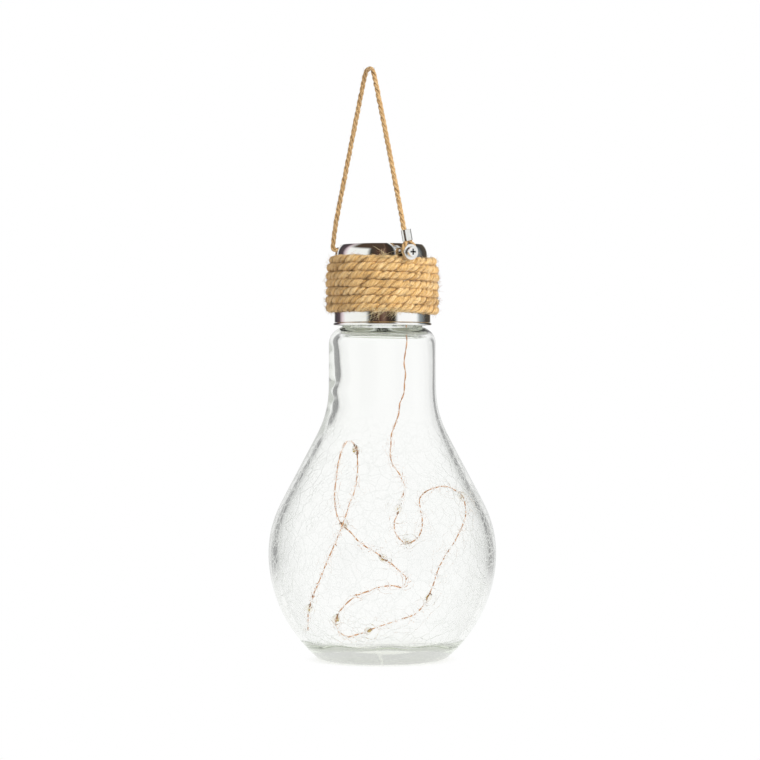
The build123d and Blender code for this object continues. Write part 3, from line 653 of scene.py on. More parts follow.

# %% [markdown]
# ## The hanging twine
# One length of thin twine makes the loop. Each end goes round a screw, back through a crimped sleeve
# beside itself, and up into the loop. Loop and eyes could be three pieces, but they would part when the
# loop swings. So it is one piece from eye to eye.

# %% Route of the twine
LOOP_ANGLE = math.radians(-61.0)
EYE_DISTANCE = WAIST_RADIUS + 4.25 * MM
SCREW_HEIGHT = CAP_TOP - 4.0 * MM
FRONT_LEAN = math.radians(-11.0)
BACK_LEAN = math.radians(80.0)
EYE_SIDE = [(0.9, 9.2), (0.9, 7.0), (0.9, 5.0), (1.5, 3.6), (2.55, 1.9), (2.75, 0.0), (1.95, -1.95)]
EYE_ROUTE = EYE_SIDE + [(0.0, -2.75)] + [(-x, y) for x, y in reversed(EYE_SIDE)]
LEGS = [
    (0.00885, -0.02214, 0.18464),
    (0.00815, -0.02129, 0.18900),
    (0.00230, -0.01418, 0.22050),
    (-0.00270, -0.00806, 0.24640),
    (-0.00418, -0.00623, 0.25340),
    (-0.00682, -0.00297, 0.25340),
    (-0.00830, -0.00120, 0.24680),
    (-0.01370, 0.00570, 0.22050),
    (-0.01990, 0.01330, 0.19000),
    (-0.02075, 0.01415, 0.18464),
]
BACK_BEND = [(-0.9, 12.0), (-0.9, 10.6)]


def eye_points(angle, lean, spots):
    """Points in the frame from places in an eye's flat, across and along its sleeve in millimetres."""
    outward = np.array((math.cos(angle), math.sin(angle), 0.0))
    sideways = np.array((-outward[1], outward[0], 0.0))
    along = sideways * math.sin(lean) + np.array((0.0, 0.0, math.cos(lean)))
    across = np.cross(along, outward)
    centre = outward * EYE_DISTANCE + np.array((0.0, 0.0, SCREW_HEIGHT))
    return [tuple(centre + across * x * MM + along * y * MM) for x, y in spots]


twine_points = eye_points(LOOP_ANGLE, FRONT_LEAN, EYE_ROUTE) + LEGS
twine_points += eye_points(LOOP_ANGLE + math.pi, BACK_LEAN, BACK_BEND + EYE_ROUTE[::-1])
print("twine is laid through", len(twine_points), "points")

# %% Hanging twine
LOOP_TWINE = 2.2 * MM
TWINE_STEP = 0.5 * MM
TWINE_LAY = -8.0 * MM
TWINE_FUZZ = (160, 2.2 * MM, 0.05 * MM, 12, 0.5)

twine_route = evenly(smooth_route("twine_route", twine_points), TWINE_STEP)
twine_tubes = TubeMesh()
twine_directions = add_plies(
    twine_tubes, twine_route, LOOP_TWINE / 2, plies=3, lay=TWINE_LAY, sides=8, seed=11
)
add_fibres(twine_tubes, twine_route, twine_directions, LOOP_TWINE / 2, *TWINE_FUZZ)
hanging_loop_twine = twine_tubes.finish("hanging_loop_twine", jutes["jute_thin"])
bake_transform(hanging_loop_twine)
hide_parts("hanging_twine", "front_twine_eye", "back_twine_eye")

# %% [markdown]
# ## The light wire
# Two thin enamelled copper strands are twisted together. The line comes out of the module in the cap,
# drops through the neck and wanders about the bulb. A smooth curve alone looks too new for wire that
# was wound on a reel, so small bends are added to it before the two strands are twisted round it.

# %% Route of the wire
WIRE_POINTS = [
    (0.0050, -0.0027, 0.1650), (0.0096, -0.0027, 0.1660), (0.0096, -0.0027, 0.1570),
    (0.0102, -0.0040, 0.1470), (0.0102, -0.0040, 0.1372), (0.0085, -0.0050, 0.1299),
    (0.0102, -0.0040, 0.1200), (0.0083, -0.0030, 0.1118), (0.0059, -0.0020, 0.1019),
    (0.0035, -0.0030, 0.0937), (0.0033, -0.0050, 0.0856), (0.0068, -0.0070, 0.0796),
    (0.0102, -0.0070, 0.0735), (0.0080, -0.0040, 0.0684), (0.0059, -0.0010, 0.0606),
    (0.0050, 0.0020, 0.0550), (0.0080, 0.0050, 0.0503), (0.0132, 0.0060, 0.0499),
    (0.0171, 0.0040, 0.0542), (0.0171, 0.0000, 0.0628), (0.0149, -0.0050, 0.0692),
    (0.0192, -0.0090, 0.0735), (0.0274, -0.0075, 0.0744), (0.0326, -0.0045, 0.0720),
    (0.0354, -0.0015, 0.0684), (0.0368, 0.0005, 0.0624), (0.0330, 0.0030, 0.0529),
    (0.0274, 0.0060, 0.0439), (0.0240, 0.0100, 0.0361), (0.0222, 0.0130, 0.0288),
    (0.0188, 0.0150, 0.0215), (0.0128, 0.0140, 0.0168), (0.0050, 0.0100, 0.0150),
    (-0.0027, 0.0040, 0.0133), (-0.0100, -0.0030, 0.0108), (-0.0169, -0.0080, 0.0109),
    (-0.0208, -0.0110, 0.0155), (-0.0182, -0.0130, 0.0219), (-0.0126, -0.0140, 0.0280),
    (-0.0049, -0.0140, 0.0314), (0.0037, -0.0130, 0.0327), (0.0098, -0.0110, 0.0318),
    (0.0115, -0.0100, 0.0350), (0.0080, -0.0090, 0.0383), (0.0033, -0.0080, 0.0417),
    (-0.0027, -0.0080, 0.0464), (-0.0083, -0.0090, 0.0499), (-0.0139, -0.0110, 0.0550),
    (-0.0190, -0.0140, 0.0606), (-0.0201, -0.0170, 0.0697), (-0.0190, -0.0180, 0.0808),
    (-0.0173, -0.0170, 0.0890), (-0.0150, -0.0155, 0.0939), (-0.0120, -0.0130, 0.0937),
    (-0.0102, -0.0120, 0.0864), (-0.0104, -0.0120, 0.0770), (-0.0139, -0.0130, 0.0658),
    (-0.0190, -0.0150, 0.0525), (-0.0251, -0.0170, 0.0374), (-0.0294, -0.0170, 0.0275),
    (-0.0315, -0.0140, 0.0194), (-0.0315, -0.0090, 0.0133),
]
WIRE_STEP = 0.6 * MM
KINK_REACH = 4.5 * MM
KINK = 0.22 * MM
STRAIGHT_KNOTS = 4


def kinked(line, seed):
    """The same line with small bends, as thin wire has after it was unwound."""
    rng = np.random.default_rng(seed)
    along = lengths_along(line)
    knots = np.linspace(0, along[-1], int(along[-1] / KINK_REACH))
    offsets = rng.normal(0, KINK, (len(knots), 3))
    offsets[:STRAIGHT_KNOTS] = 0.0
    shift = np.stack([np.interp(along, knots, offsets[:, axis]) for axis in range(3)], axis=1)
    return evenly(line + shift, WIRE_STEP)


wire_route = kinked(evenly(smooth_route("wire_route", WIRE_POINTS), WIRE_STEP), seed=20)

# %% Copper wire
WIRE = 0.7 * MM
WIRE_LAY = 9.0 * MM

copper = solid_finish(
    "enamelled_copper",
    (0.82, 0.50, 0.30),
    (0.66, 0.35, 0.20),
    (0.38, 0.55),
    metallic=0.4,
    patch=220.0,
    grain=2500.0,
)
wire_tubes = TubeMesh()
add_plies(wire_tubes, wire_route, WIRE / 2, plies=2, lay=WIRE_LAY, sides=6, seed=21, strand_share=0.5)
copper_wire = wire_tubes.finish("copper_wire", copper)

# %% [markdown]
# ## LED drops
# Each lamp is a tiny chip on the wire, sealed in a drop of clear resin. A plain sphere would look like a
# bead, so a sphere is drawn out along the wire and its ends are pulled in. Every drop swells a little
# differently, and all of them are joined into one piece.

# %% LED drops
DROP_RUNS = (13, 16, 23, 29, 33, 36, 44, 47, 53, 59)
DROP_RADIUS = 1.7 * MM
DROP_HALF = 2.3 * MM
DROP_PINCH = 0.28
DROP_PINCH_POWER = 2.2


def drop_mesh(index):
    """One clear drop round the wire, at the middle of a run of its route."""
    start = Vector(WIRE_POINTS[DROP_RUNS[index]])
    end = Vector(WIRE_POINTS[DROP_RUNS[index] + 1])
    bpy.ops.object.select_all(action="DESELECT")
    bpy.ops.mesh.primitive_uv_sphere_add(segments=20, ring_count=14, radius=1.0)
    drop = bpy.context.object
    swell = random.Random(index).uniform(0.88, 1.0)
    turn = (end - start).to_track_quat("Z", "Y")
    for vertex in drop.data.vertices:
        x, y, z = vertex.co
        width = DROP_RADIUS * swell * (1.0 - DROP_PINCH * abs(z) ** DROP_PINCH_POWER)
        vertex.co = turn @ Vector((x * width, y * width, z * DROP_HALF)) + (start + end) / 2
    drop.data.polygons.foreach_set("use_smooth", [True] * len(drop.data.polygons))
    return drop


clear_resin = solid_finish(
    "clear_resin",
    (0.97, 0.95, 0.90),
    (0.94, 0.91, 0.85),
    (0.03, 0.08),
    patch=120.0,
    plain={"Transmission Weight": 1.0, "IOR": 1.48},
)
drops = [drop_mesh(index) for index in range(len(DROP_RUNS))]
bpy.ops.object.select_all(action="DESELECT")
for drop in drops:
    drop.select_set(True)
bpy.context.view_layer.objects.active = drops[0]
bpy.ops.object.join()
resin_drops = bpy.context.object
resin_drops.name = "resin_drops"
resin_drops.data.materials.append(clear_resin)
print("resin_drops has", len(resin_drops.data.polygons), "faces in", len(DROP_RUNS), "drops")
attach(resin_drops, "cap")
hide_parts("led_drops")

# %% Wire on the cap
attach(copper_wire, "cap")
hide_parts("fairy_wire")

# %% [markdown]
# ## The crackle glass
# The hot glass was dipped in water, which left a net of fine cracks inside the bulb. The neck stayed
# smooth. Cracks this fine are too many for geometry, so two nets of cells, one of them broken up, are
# drawn as a bump on the inner face. Lamps and soft light pass straight through the glass, so that what
# is inside is lit, and so do rays that were caught in the wall for too long.

# %% Net of cracks
CRACKLE_TOP = 0.116
CRACKLE_FULL = 0.078
CRACK_WAVER = 0.0022
WAVER_SCALE = 240.0
BREAK_SCALE = 130.0
NET_SCALES = (1.0, 0.47)
NET_BREAKS = (0.42, 0.62)


def make_crackle():
    """A net of fine cracks on object coordinates, fading out towards the neck."""
    group, given, result = new_group(
        "crackle",
        [("Vector", VECTOR, None), ("Mask", FLOAT, 1.0), ("Cell", FLOAT, 400.0), ("Width", FLOAT, 0.05)],
        [("Crack", FLOAT), ("Height", FLOAT)],
    )
    waver = noise(group, given["Vector"], WAVER_SCALE, 2.0)["Color"]
    bent = vector_maths(group, "MULTIPLY_ADD", waver, (CRACK_WAVER,) * 3, given["Vector"])
    nets = []
    for scale in NET_SCALES:
        size = maths(group, "MULTIPLY", given["Cell"], scale)
        cells = {"Vector": bent, "Scale": size}
        net = add_node(group, "ShaderNodeTexVoronoi", cells, feature="DISTANCE_TO_EDGE")
        nets.append(ranged(group, net.outputs["Distance"], 0.0, given["Width"], 1.0, 0.0, SMOOTH))
    broken = noise(group, given["Vector"], BREAK_SCALE, 2.0)["Fac"]
    fine = maths(group, "MULTIPLY", nets[0], ranged(group, broken, *NET_BREAKS))
    both = maths(group, "MAXIMUM", fine, nets[1])
    height = split(group, given["Vector"])["Z"]
    fade = ranged(group, height, CRACKLE_FULL, CRACKLE_TOP, 1.0, 0.0, SMOOTH)
    faded = maths(group, "MULTIPLY", both, fade)
    kept = maths(group, "MULTIPLY", faded, given["Mask"])
    feed(group, result, {"Crack": kept, "Height": maths(group, "SUBTRACT", 1.0, kept)})
    return group


CRACKLE = make_crackle()
print("crackle group has", len(CRACKLE.nodes), "nodes")

# %% Glass finish
CLEAR_COLOUR = (0.998, 1.0, 0.998, 1)
CRACK_COLOUR = (0.87, 0.88, 0.87, 1)
CRACK_DEPTH = 0.000034
# Painted shade on the inner face where it is seen edge on, standing in for the dark edges of thick glass
EDGE_SHADE_SLOPES = (0.70, 0.95)
EDGE_PAINTED_SHADE = (0.62, 0.63, 0.62, 1.0)
GLASS_SURFACE = {
    "Roughness": 0.0,
    "IOR": 1.5,
    "Specular Tint": (0.3, 0.3, 0.3, 1.0),
    "Transmission Weight": 1.0,
}
CAUGHT_DEPTH = 5.5
THROUGH_COLOUR = (0.93, 0.94, 0.93, 1)
GLASS_DEPTH = {"Color": (0.84, 0.87, 0.79, 1), "Density": 24.0}


def crackle_glass():
    """Clear glass with a net of cracks, and painted shade where the inner face is seen edge on. Light
    passes straight through it to what is inside.
    """
    material, tree, principled = new_material("crackle_glass")
    cracked = add_node(tree, "ShaderNodeAttribute", attribute_name="cracked").outputs["Fac"]
    net = placed(tree, CRACKLE, vector=object_place(tree), mask=cracked)
    tint = blended(tree, net["Crack"], CLEAR_COLOUR, CRACK_COLOUR)
    normal = raised(tree, net["Height"], CRACK_DEPTH)
    # Painted shade: the inner face turns grey where it is seen edge on, standing in for the dark edges of
    # thick glass
    slope = add_node(tree, "ShaderNodeLayerWeight", {"Blend": 0.5, "Normal": normal}).outputs["Facing"]
    edge_shade_share = maths(tree, "MULTIPLY", ranged(tree, slope, *EDGE_SHADE_SLOPES, kind=SMOOTH), cracked)
    edge_shaded = blended(tree, edge_shade_share, tint, EDGE_PAINTED_SHADE)
    feed(tree, principled, {"Base Color": edge_shaded, "Normal": normal, **GLASS_SURFACE})
    ray = tree.nodes.new("ShaderNodeLightPath").outputs
    light_ray = maths(tree, "MAXIMUM", ray["Is Shadow Ray"], ray["Is Diffuse Ray"])
    caught = maths(tree, "GREATER_THAN", ray["Ray Depth"], CAUGHT_DEPTH)
    straight = maths(tree, "MAXIMUM", light_ray, caught)
    clear = add_node(tree, "ShaderNodeBsdfTransparent", {"Color": THROUGH_COLOUR}).outputs[0]
    surface = either(tree, straight, principled.outputs[0], clear)
    depth = add_node(tree, "ShaderNodeVolumeAbsorption", GLASS_DEPTH).outputs[0]
    feed(tree, tree.nodes["Material Output"], {"Surface": surface, "Volume": depth})
    return material


# %% [markdown]
# ## The glass jar
# The jar is blown in one piece, with a heavy foot, a round bulb and a neck. A sphere and a cylinder would
# meet in a crease, so the profile is drawn as arcs that run into each other, eased, and spun round the
# axis. Blown glass has an uneven wall, most of all in the neck, so the inner face is then moved a little.

# %% Sizes of the jar in millimetres
GLASS_WALL = 2.9
BULB_RADIUS = 49.0
BULB_HEIGHT = 46.0
FOOT_RADIUS = 27.0
FOOT_EDGE = [(2.6, 0.0), (1.1, 0.25)]
FOOT_TOP = 1.2
NECK_RADIUS = 23.0
NECK_BOTTOM = 116.0
NECK_TOP = 135.6
NECK_SHOULDER = 7.2
FINISH_RADIUS = 17.2
RIM_ROUND = [(0.0, 1.0), (0.3, 0.3), (1.0, 0.0)]
FLOOR_HEIGHT = 5.0
FLOOR_RISE = 5.0
FLOOR_POWER = 5
CONE_SHARE = 1.37
CONE_ANGLE = CONE_SHARE * math.atan2(BULB_RADIUS - NECK_RADIUS, NECK_BOTTOM - BULB_HEIGHT)
BULB_ARC_SHARE = 0.527
RIM_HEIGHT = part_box("glass_bulb")[1][2] / MM
print("jar is", round(RIM_HEIGHT, 1), "mm high to its rim")

# %% Side of the glass
LONG_ARC, SHORT_ARC, NECK_RINGS, SHOULDER_ARC = 26, 14, 12, 9
EASE_STEP = 1.3
EASE_ROUNDS = 14
EASE_SHARE = 0.5


def arc(centre, radius, start, end, count):
    """Points on an arc in the jar's profile, by angles from the outward direction."""
    angles = np.linspace(start, end, count)
    return [(centre[0] + radius * math.cos(a), centre[1] + radius * math.sin(a)) for a in angles]


def eased(side):
    """A profile with even points, in which the bend changes gradually from one arc to the next."""
    line = evenly(np.array([(radius, 0.0, height) for radius, height in side]), EASE_STEP)
    for _ in range(EASE_ROUNDS):
        middle = (line[:-2] + line[2:]) / 2
        line[1:-1] += EASE_SHARE * (middle - line[1:-1])
    return [(radius, height) for radius, _, height in line]


def glass_side(inset, foot_height):
    """One face of the glass wall, from the foot to the shoulder under the finish."""
    rise = NECK_BOTTOM - BULB_HEIGHT
    run = BULB_RADIUS - NECK_RADIUS
    both_arcs = (rise * math.sin(CONE_ANGLE) - run * math.cos(CONE_ANGLE)) / (1 - math.cos(CONE_ANGLE))
    bulb_arc = BULB_ARC_SHARE * both_arcs
    neck_arc = both_arcs - bulb_arc
    lower_arc = ((BULB_RADIUS - FOOT_RADIUS) ** 2 + BULB_HEIGHT**2) / (2 * (BULB_RADIUS - FOOT_RADIUS))
    foot_angle = -math.asin((BULB_HEIGHT - foot_height) / (lower_arc - inset))
    side = arc((BULB_RADIUS - lower_arc, BULB_HEIGHT), lower_arc - inset, foot_angle, 0, LONG_ARC)
    side += arc((BULB_RADIUS - bulb_arc, BULB_HEIGHT), bulb_arc - inset, 0, CONE_ANGLE, SHORT_ARC)[1:]
    neck_centre = (NECK_RADIUS + neck_arc, NECK_BOTTOM)
    side += arc(neck_centre, neck_arc + inset, math.pi + CONE_ANGLE, math.pi, SHORT_ARC)
    side += [(NECK_RADIUS - inset, height) for height in np.linspace(NECK_BOTTOM, NECK_TOP, NECK_RINGS)[1:]]
    centre = NECK_RADIUS - NECK_SHOULDER
    top = max(FINISH_RADIUS - inset, centre)
    stop = math.acos((top - centre) / (NECK_SHOULDER - inset))
    shoulder = arc((centre, NECK_TOP), NECK_SHOULDER - inset, 0, stop, SHOULDER_ARC)[1:]
    return eased(side) + shoulder


# %% Profile of the jar
mouth = FINISH_RADIUS - GLASS_WALL
outer = [(0.0, 0.0)] + [(FOOT_RADIUS - inset, height) for inset, height in FOOT_EDGE]
outer += glass_side(0.0, FOOT_TOP)
rim = [(FINISH_RADIUS - inset, RIM_HEIGHT - drop) for inset, drop in RIM_ROUND]
rim += [(mouth + inset, RIM_HEIGHT - drop) for inset, drop in reversed(RIM_ROUND)]
inner = glass_side(GLASS_WALL, FLOOR_HEIGHT + FLOOR_RISE)
inner_edge = inner[0][0]
floor_line = [
    (inner_edge * share, FLOOR_HEIGHT + FLOOR_RISE * share**FLOOR_POWER)
    for share in np.linspace(1.0, 0.0, LONG_ARC)[1:]
]
jar_profile = outer + rim + [(mouth, inner[-1][1])] + inner[::-1] + floor_line
print("jar's profile has", len(jar_profile), "points")

# %% Blown wall
NECK_MIDDLE = 117.0
NECK_REACH = 25.0
WALL_SHIFT = 0.25
WALL_LEAN = 1.1
RIPPLE_MIDDLE = 120.0
# Depth, length and lag of each ripple
RIPPLES = [(0.38, 3.2, 0.0), (0.20, 1.8, 1.0)]
# Depth, waves round the jar and length of each drift
DRIFTS = [(0.25, 2, 30.0), (0.15, 5, -17.0)]
DRIFT_SHARE = 0.5
DRIFT_START = 20.0
LUMP = 0.3
LUMPY_TOP = FLOOR_HEIGHT + FLOOR_RISE - 0.5
LUMPY_EDGE = inner_edge - 1.0
LUMP_WIDTHS = (4.0, 5.0)
NEAR = 0.01


def blown_offset(angle, height):
    """How much further in the inner face lies than it should, in millimetres, as the glass was blown."""
    in_neck = math.exp(-(((height - NECK_MIDDLE) / NECK_REACH) ** 4))
    thicker = WALL_SHIFT - WALL_LEAN * math.cos(angle)
    left_side = max(0.0, -math.cos(angle)) ** 2
    ripple = sum(deep * math.sin((height - RIPPLE_MIDDLE) / long + late) for deep, long, late in RIPPLES)
    drift = sum(deep * math.sin(waves * angle + height / long) for deep, waves, long in DRIFTS)
    in_bulb = min(max(height / DRIFT_START, 0.0), 1.0)
    return in_neck * (thicker + left_side * ripple) + DRIFT_SHARE * drift * in_bulb


def blow(mesh):
    """Make the floor lumpy and the inner face uneven, and mark the inner face as cracked."""
    inner_radius = {round(height, 3): radius for radius, height in inner}
    cracked = mesh.attributes.new("cracked", "FLOAT", "POINT")
    for vertex in mesh.vertices:
        x, y, z = vertex.co / MM
        radius = math.hypot(x, y)
        if FLOOR_HEIGHT - NEAR < z < LUMPY_TOP and radius < LUMPY_EDGE:
            lump = math.sin(x / LUMP_WIDTHS[0] + 1.0) * math.cos(y / LUMP_WIDTHS[1])
            vertex.co.z += LUMP * MM * lump
        expected = inner_radius.get(round(z, 3))
        if expected is None or abs(radius - expected) > NEAR:
            continue
        cracked.data[vertex.index].value = 1.0
        inset = blown_offset(math.atan2(y, x) % (2 * math.pi), z)
        vertex.co.x *= (radius - inset) / radius
        vertex.co.y *= (radius - inset) / radius


# %% Glass jar
JAR_STEPS = 160
WELD = 0.00001

jar_mesh = bpy.data.meshes.new("bulb_jar")
corners = [(radius * MM, 0.0, height * MM) for radius, height in jar_profile]
jar_mesh.from_pydata(corners, [(index, index + 1) for index in range(len(corners) - 1)], [])
bulb_jar = bpy.data.objects.new("bulb_jar", jar_mesh)
scene.collection.objects.link(bulb_jar)
bpy.ops.object.select_all(action="DESELECT")
bpy.context.view_layer.objects.active = bulb_jar
bulb_jar.select_set(True)
bpy.ops.object.mode_set(mode="EDIT")
bpy.ops.mesh.select_all(action="SELECT")
bpy.ops.mesh.spin(steps=JAR_STEPS, angle=2 * math.pi, center=(0, 0, 0), axis=(0, 0, 1))
bpy.ops.mesh.select_all(action="SELECT")
bpy.ops.mesh.remove_doubles(threshold=WELD)
bpy.ops.mesh.normals_make_consistent(inside=False)
bpy.ops.object.mode_set(mode="OBJECT")
blow(jar_mesh)
jar_mesh.polygons.foreach_set("use_smooth", [True] * len(jar_mesh.polygons))
print("bulb_jar has", len(jar_mesh.polygons), "faces")
bulb_jar.data.materials.append(crackle_glass())
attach(bulb_jar, "bottle")
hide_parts("glass_bulb")

# %% [markdown]
# ## Finishes of the solids that stay
# The cap, its screws and everything inside the module keep their solid shapes. Each gets a finish of
# its own: bright plated metal, zinc-plated steel, moulded plastic, rubber, foam and circuit board. They
# differ only in a few values, so a table gives those, and one loop makes and places the finishes.

# %% Finishes
STEEL = ((0.86, 0.86, 0.84), (0.78, 0.78, 0.75), (0.14, 0.26), {"metallic": 1.0, "patch": 300.0})
PLATING = {"metallic": 1.0, "patch": 45.0, "grain": 700.0, "bump": 0.000004}
FINE = {"grain": 2400.0}
# Colour, second colour, least and most roughness, and values of the finish's own
FINISHES = {
    "plated_cap": ((0.96, 0.96, 0.94), (0.92, 0.92, 0.90), (0.03, 0.10), PLATING),
    "zinc_steel": STEEL,
    "screw_steel": STEEL,
    "liner_plastic": ((0.88, 0.88, 0.86), (0.83, 0.83, 0.80), (0.35, 0.5), {}),
    "seal_rubber": ((0.88, 0.87, 0.82), (0.82, 0.81, 0.76), (0.6, 0.8), {}),
    "module_plastic": ((0.84, 0.84, 0.81), (0.78, 0.78, 0.75), (0.35, 0.55), FINE),
    "chip_plastic": ((0.02, 0.02, 0.02), (0.035, 0.035, 0.035), (0.4, 0.6), FINE),
    "foam": ((0.75, 0.75, 0.72), (0.62, 0.62, 0.60), (0.85, 0.95), {"grain": 1600.0, "bump": 0.0002}),
    "laminate": ((0.03, 0.16, 0.07), (0.05, 0.24, 0.11), (0.25, 0.4), {"patch": 420.0}),
    "cell_sleeve": ((0.07, 0.24, 0.12), (0.09, 0.28, 0.14), (0.2, 0.32), {}),
    "lead_red": ((0.50, 0.04, 0.03), (0.42, 0.03, 0.02), (0.3, 0.45), {}),
    "phosphor": ((0.90, 0.66, 0.16), (0.85, 0.58, 0.10), (0.4, 0.6), {"patch": 800.0}),
    "silicon": ((0.015, 0.025, 0.09), (0.025, 0.04, 0.15), (0.12, 0.22), {"patch": 350.0}),
}
SMALL_STEEL = ["loop_washers", "loop_nuts", "crimp_sleeves", "cover_screws", "cell_tabs", "switch_body"]
DRESSED = {
    "screw_steel": ["loop_screws"],
    "plated_cap": ["cap_shell"],
    "zinc_steel": SMALL_STEEL,
    "liner_plastic": ["threaded_liner"],
    "seal_rubber": ["seal_ring", "wire_grommet"],
    "module_plastic": ["module_housing", "module_cover"],
    "chip_plastic": ["driver_chip", "boost_coil", "switch_slider"],
    "foam": ["panel_foam"],
    "laminate": ["panel_board", "circuit_board"],
    "cell_sleeve": ["rechargeable_cell", "capacitor"],
    "lead_red": ["panel_leads", "cell_leads"],
    "phosphor": ["led_chips"],
    "silicon": ["solar_wafers"],
    "clear_resin": ["panel_resin"],
}

finishes = {"clear_resin": clear_resin}
for name, (colour, second, rough, more) in FINISHES.items():
    finishes[name] = solid_finish(name, colour, second, rough, **more)
for name, nodes in DRESSED.items():
    for node in nodes:
        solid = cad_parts[node].data
        solid.materials.clear()
        solid.materials.append(finishes[name])
    print(name, "is on", ", ".join(nodes))

# %% [markdown]
# ## Printed lines and painted shade in the cross recess
# Thin silver lines gather the current on a solar wafer, and the cross recess of a small screw looks dark
# because little light gets into it. The lines are printed flat, and the recess is only a millimetre
# deep, so the print and a painted shade for the recess are laid over the finish's own colour by their place
# on the solid.

# %% Wafers and screws
FINGER_PITCH = 1.1 * MM
FINGER_SHARE = 0.12
FINGER_COLOUR = (0.55, 0.56, 0.58, 1.0)
SCREW_WAY = (math.cos(LOOP_ANGLE), math.sin(LOOP_ANGLE), 0.0)
# Place and colour of the painted shade in the loop screws' cross recess
RECESS_EDGE = WAIST_RADIUS + 7.2 * MM
RECESS_REACH = 1.75 * MM
RECESS_PAINTED_SHADE = (0.06, 0.06, 0.055, 1.0)


def lay_over(tree, share, colour):
    """Lay a colour over a finish's own colour."""
    principled = tree.nodes["Principled BSDF"]
    plain = principled.inputs["Base Color"].links[0].from_socket
    feed(tree, principled, {"Base Color": blended(tree, share, plain, colour)})


def print_fingers(tree):
    """Draw the thin silver lines that gather current over a solar wafer."""
    row = maths(tree, "DIVIDE", split(tree, object_place(tree))["X"], FINGER_PITCH)
    line = maths(tree, "LESS_THAN", maths(tree, "FRACT", row), FINGER_SHARE)
    lay_over(tree, line, FINGER_COLOUR)


def shade_recess(tree):
    """Paint shade into the cross recess of the loop screws, which is too small to darken by itself."""
    level = vector_maths(tree, "SUBTRACT", object_place(tree), (0.0, 0.0, SCREW_HEIGHT))
    depth = vector_maths(tree, "DOT_PRODUCT", level, SCREW_WAY, result="Value")
    across = vector_maths(tree, "CROSS_PRODUCT", level, SCREW_WAY)
    away = vector_maths(tree, "LENGTH", across, result="Value")
    below = maths(tree, "LESS_THAN", maths(tree, "ABSOLUTE", depth), RECESS_EDGE)
    inside = maths(tree, "LESS_THAN", away, RECESS_REACH)
    lay_over(tree, maths(tree, "MULTIPLY", below, inside), RECESS_PAINTED_SHADE)


print_fingers(finishes["silicon"].node_tree)
shade_recess(finishes["screw_steel"].node_tree)
print("silver lines lie", FINGER_PITCH / MM, "mm apart")

# %% [markdown]
# ## Floor and light
# The floor and the backdrop are white, and the floor keeps a faint shadow near the jar. The camera sees
# that white, also straight through the glass. Bright plating would look flat in a white room, so mirrors
# see a ring with the dark and light parts of a studio. Clear glass shows its edges only against
# something darker, so rays that were reflected inside the glass see grey cards round the jar.

# %% Studio ring
# Degrees round from the front, and what a mirror sees there
STUDIO = [
    (-180, (1.0, 1.0, 1.0)),
    (-160, (0.9, 0.9, 0.9)),
    (-150, (0.05, 0.045, 0.05)),
    (-122, (0.10, 0.07, 0.08)),
    (-110, (0.75, 0.62, 0.66)),
    (-98, (0.95, 0.95, 0.94)),
    (-40, (0.92, 0.93, 0.90)),
    (-30, (0.05, 0.045, 0.035)),
    (-4, (0.10, 0.05, 0.035)),
    (4, (0.22, 0.14, 0.10)),
    (12, (0.06, 0.035, 0.025)),
    (30, (0.03, 0.03, 0.025)),
    (38, (1.0, 1.0, 1.0)),
    (88, (1.0, 1.0, 1.0)),
    (100, (0.30, 0.34, 0.36)),
    (125, (0.06, 0.055, 0.05)),
    (155, (0.10, 0.08, 0.06)),
    (165, (0.95, 0.95, 0.95)),
    (180, (1.0, 1.0, 1.0)),
]
CARD_GREY = 0.28
CARDS_ROUND = 4
CARD_EDGE = (-0.30, 0.17)


def make_studio_ring():
    """What stands round the jar, by bearing from the front: a colour, the grey cards and the bearing."""
    group, given, result = new_group(
        "studio_ring",
        [("Vector", VECTOR, None)],
        [("Colour", COLOUR), ("Cards", FLOAT), ("Bearing", FLOAT)],
    )
    way = split(group, given["Vector"])
    bearing = maths(group, "ARCTAN2", way["X"], maths(group, "MULTIPLY", way["Y"], -1.0))
    position = ranged(group, bearing, -math.pi, math.pi)
    ramp = add_node(group, "ShaderNodeValToRGB", {"Fac": position})
    stops = ramp.color_ramp.elements
    for index, (degrees, colour) in enumerate(STUDIO):
        spot = (degrees + 180) / 360
        stop = stops[index] if index < 2 else stops.new(spot)
        stop.position = spot
        stop.color = (*colour, 1.0)
    waves = maths(group, "COSINE", maths(group, "MULTIPLY", bearing, CARDS_ROUND))
    cards = ranged(group, waves, *CARD_EDGE, CARD_GREY, 1.0, SMOOTH)
    feed(group, result, {"Colour": ramp.outputs["Color"], "Cards": cards, "Bearing": bearing})
    return group


STUDIO_RING = make_studio_ring()
print("studio ring has", len(STUDIO), "stops and", CARDS_ROUND, "cards")

# %% Floor
FLOOR_SIZE = 12.0
FLOOR_SURFACE = {"Base Color": (0.88, 0.88, 0.88, 1), "Roughness": 0.9}
SHADOW_REACH = (0.024, 0.034)
SHADOW_SHARE = 0.55
STUDIO_REACH = (0.10, 0.5)
GLASS_ROOM = (0.70, 0.70, 0.70, 1.0)
ANY_BOUNCE = 0.5


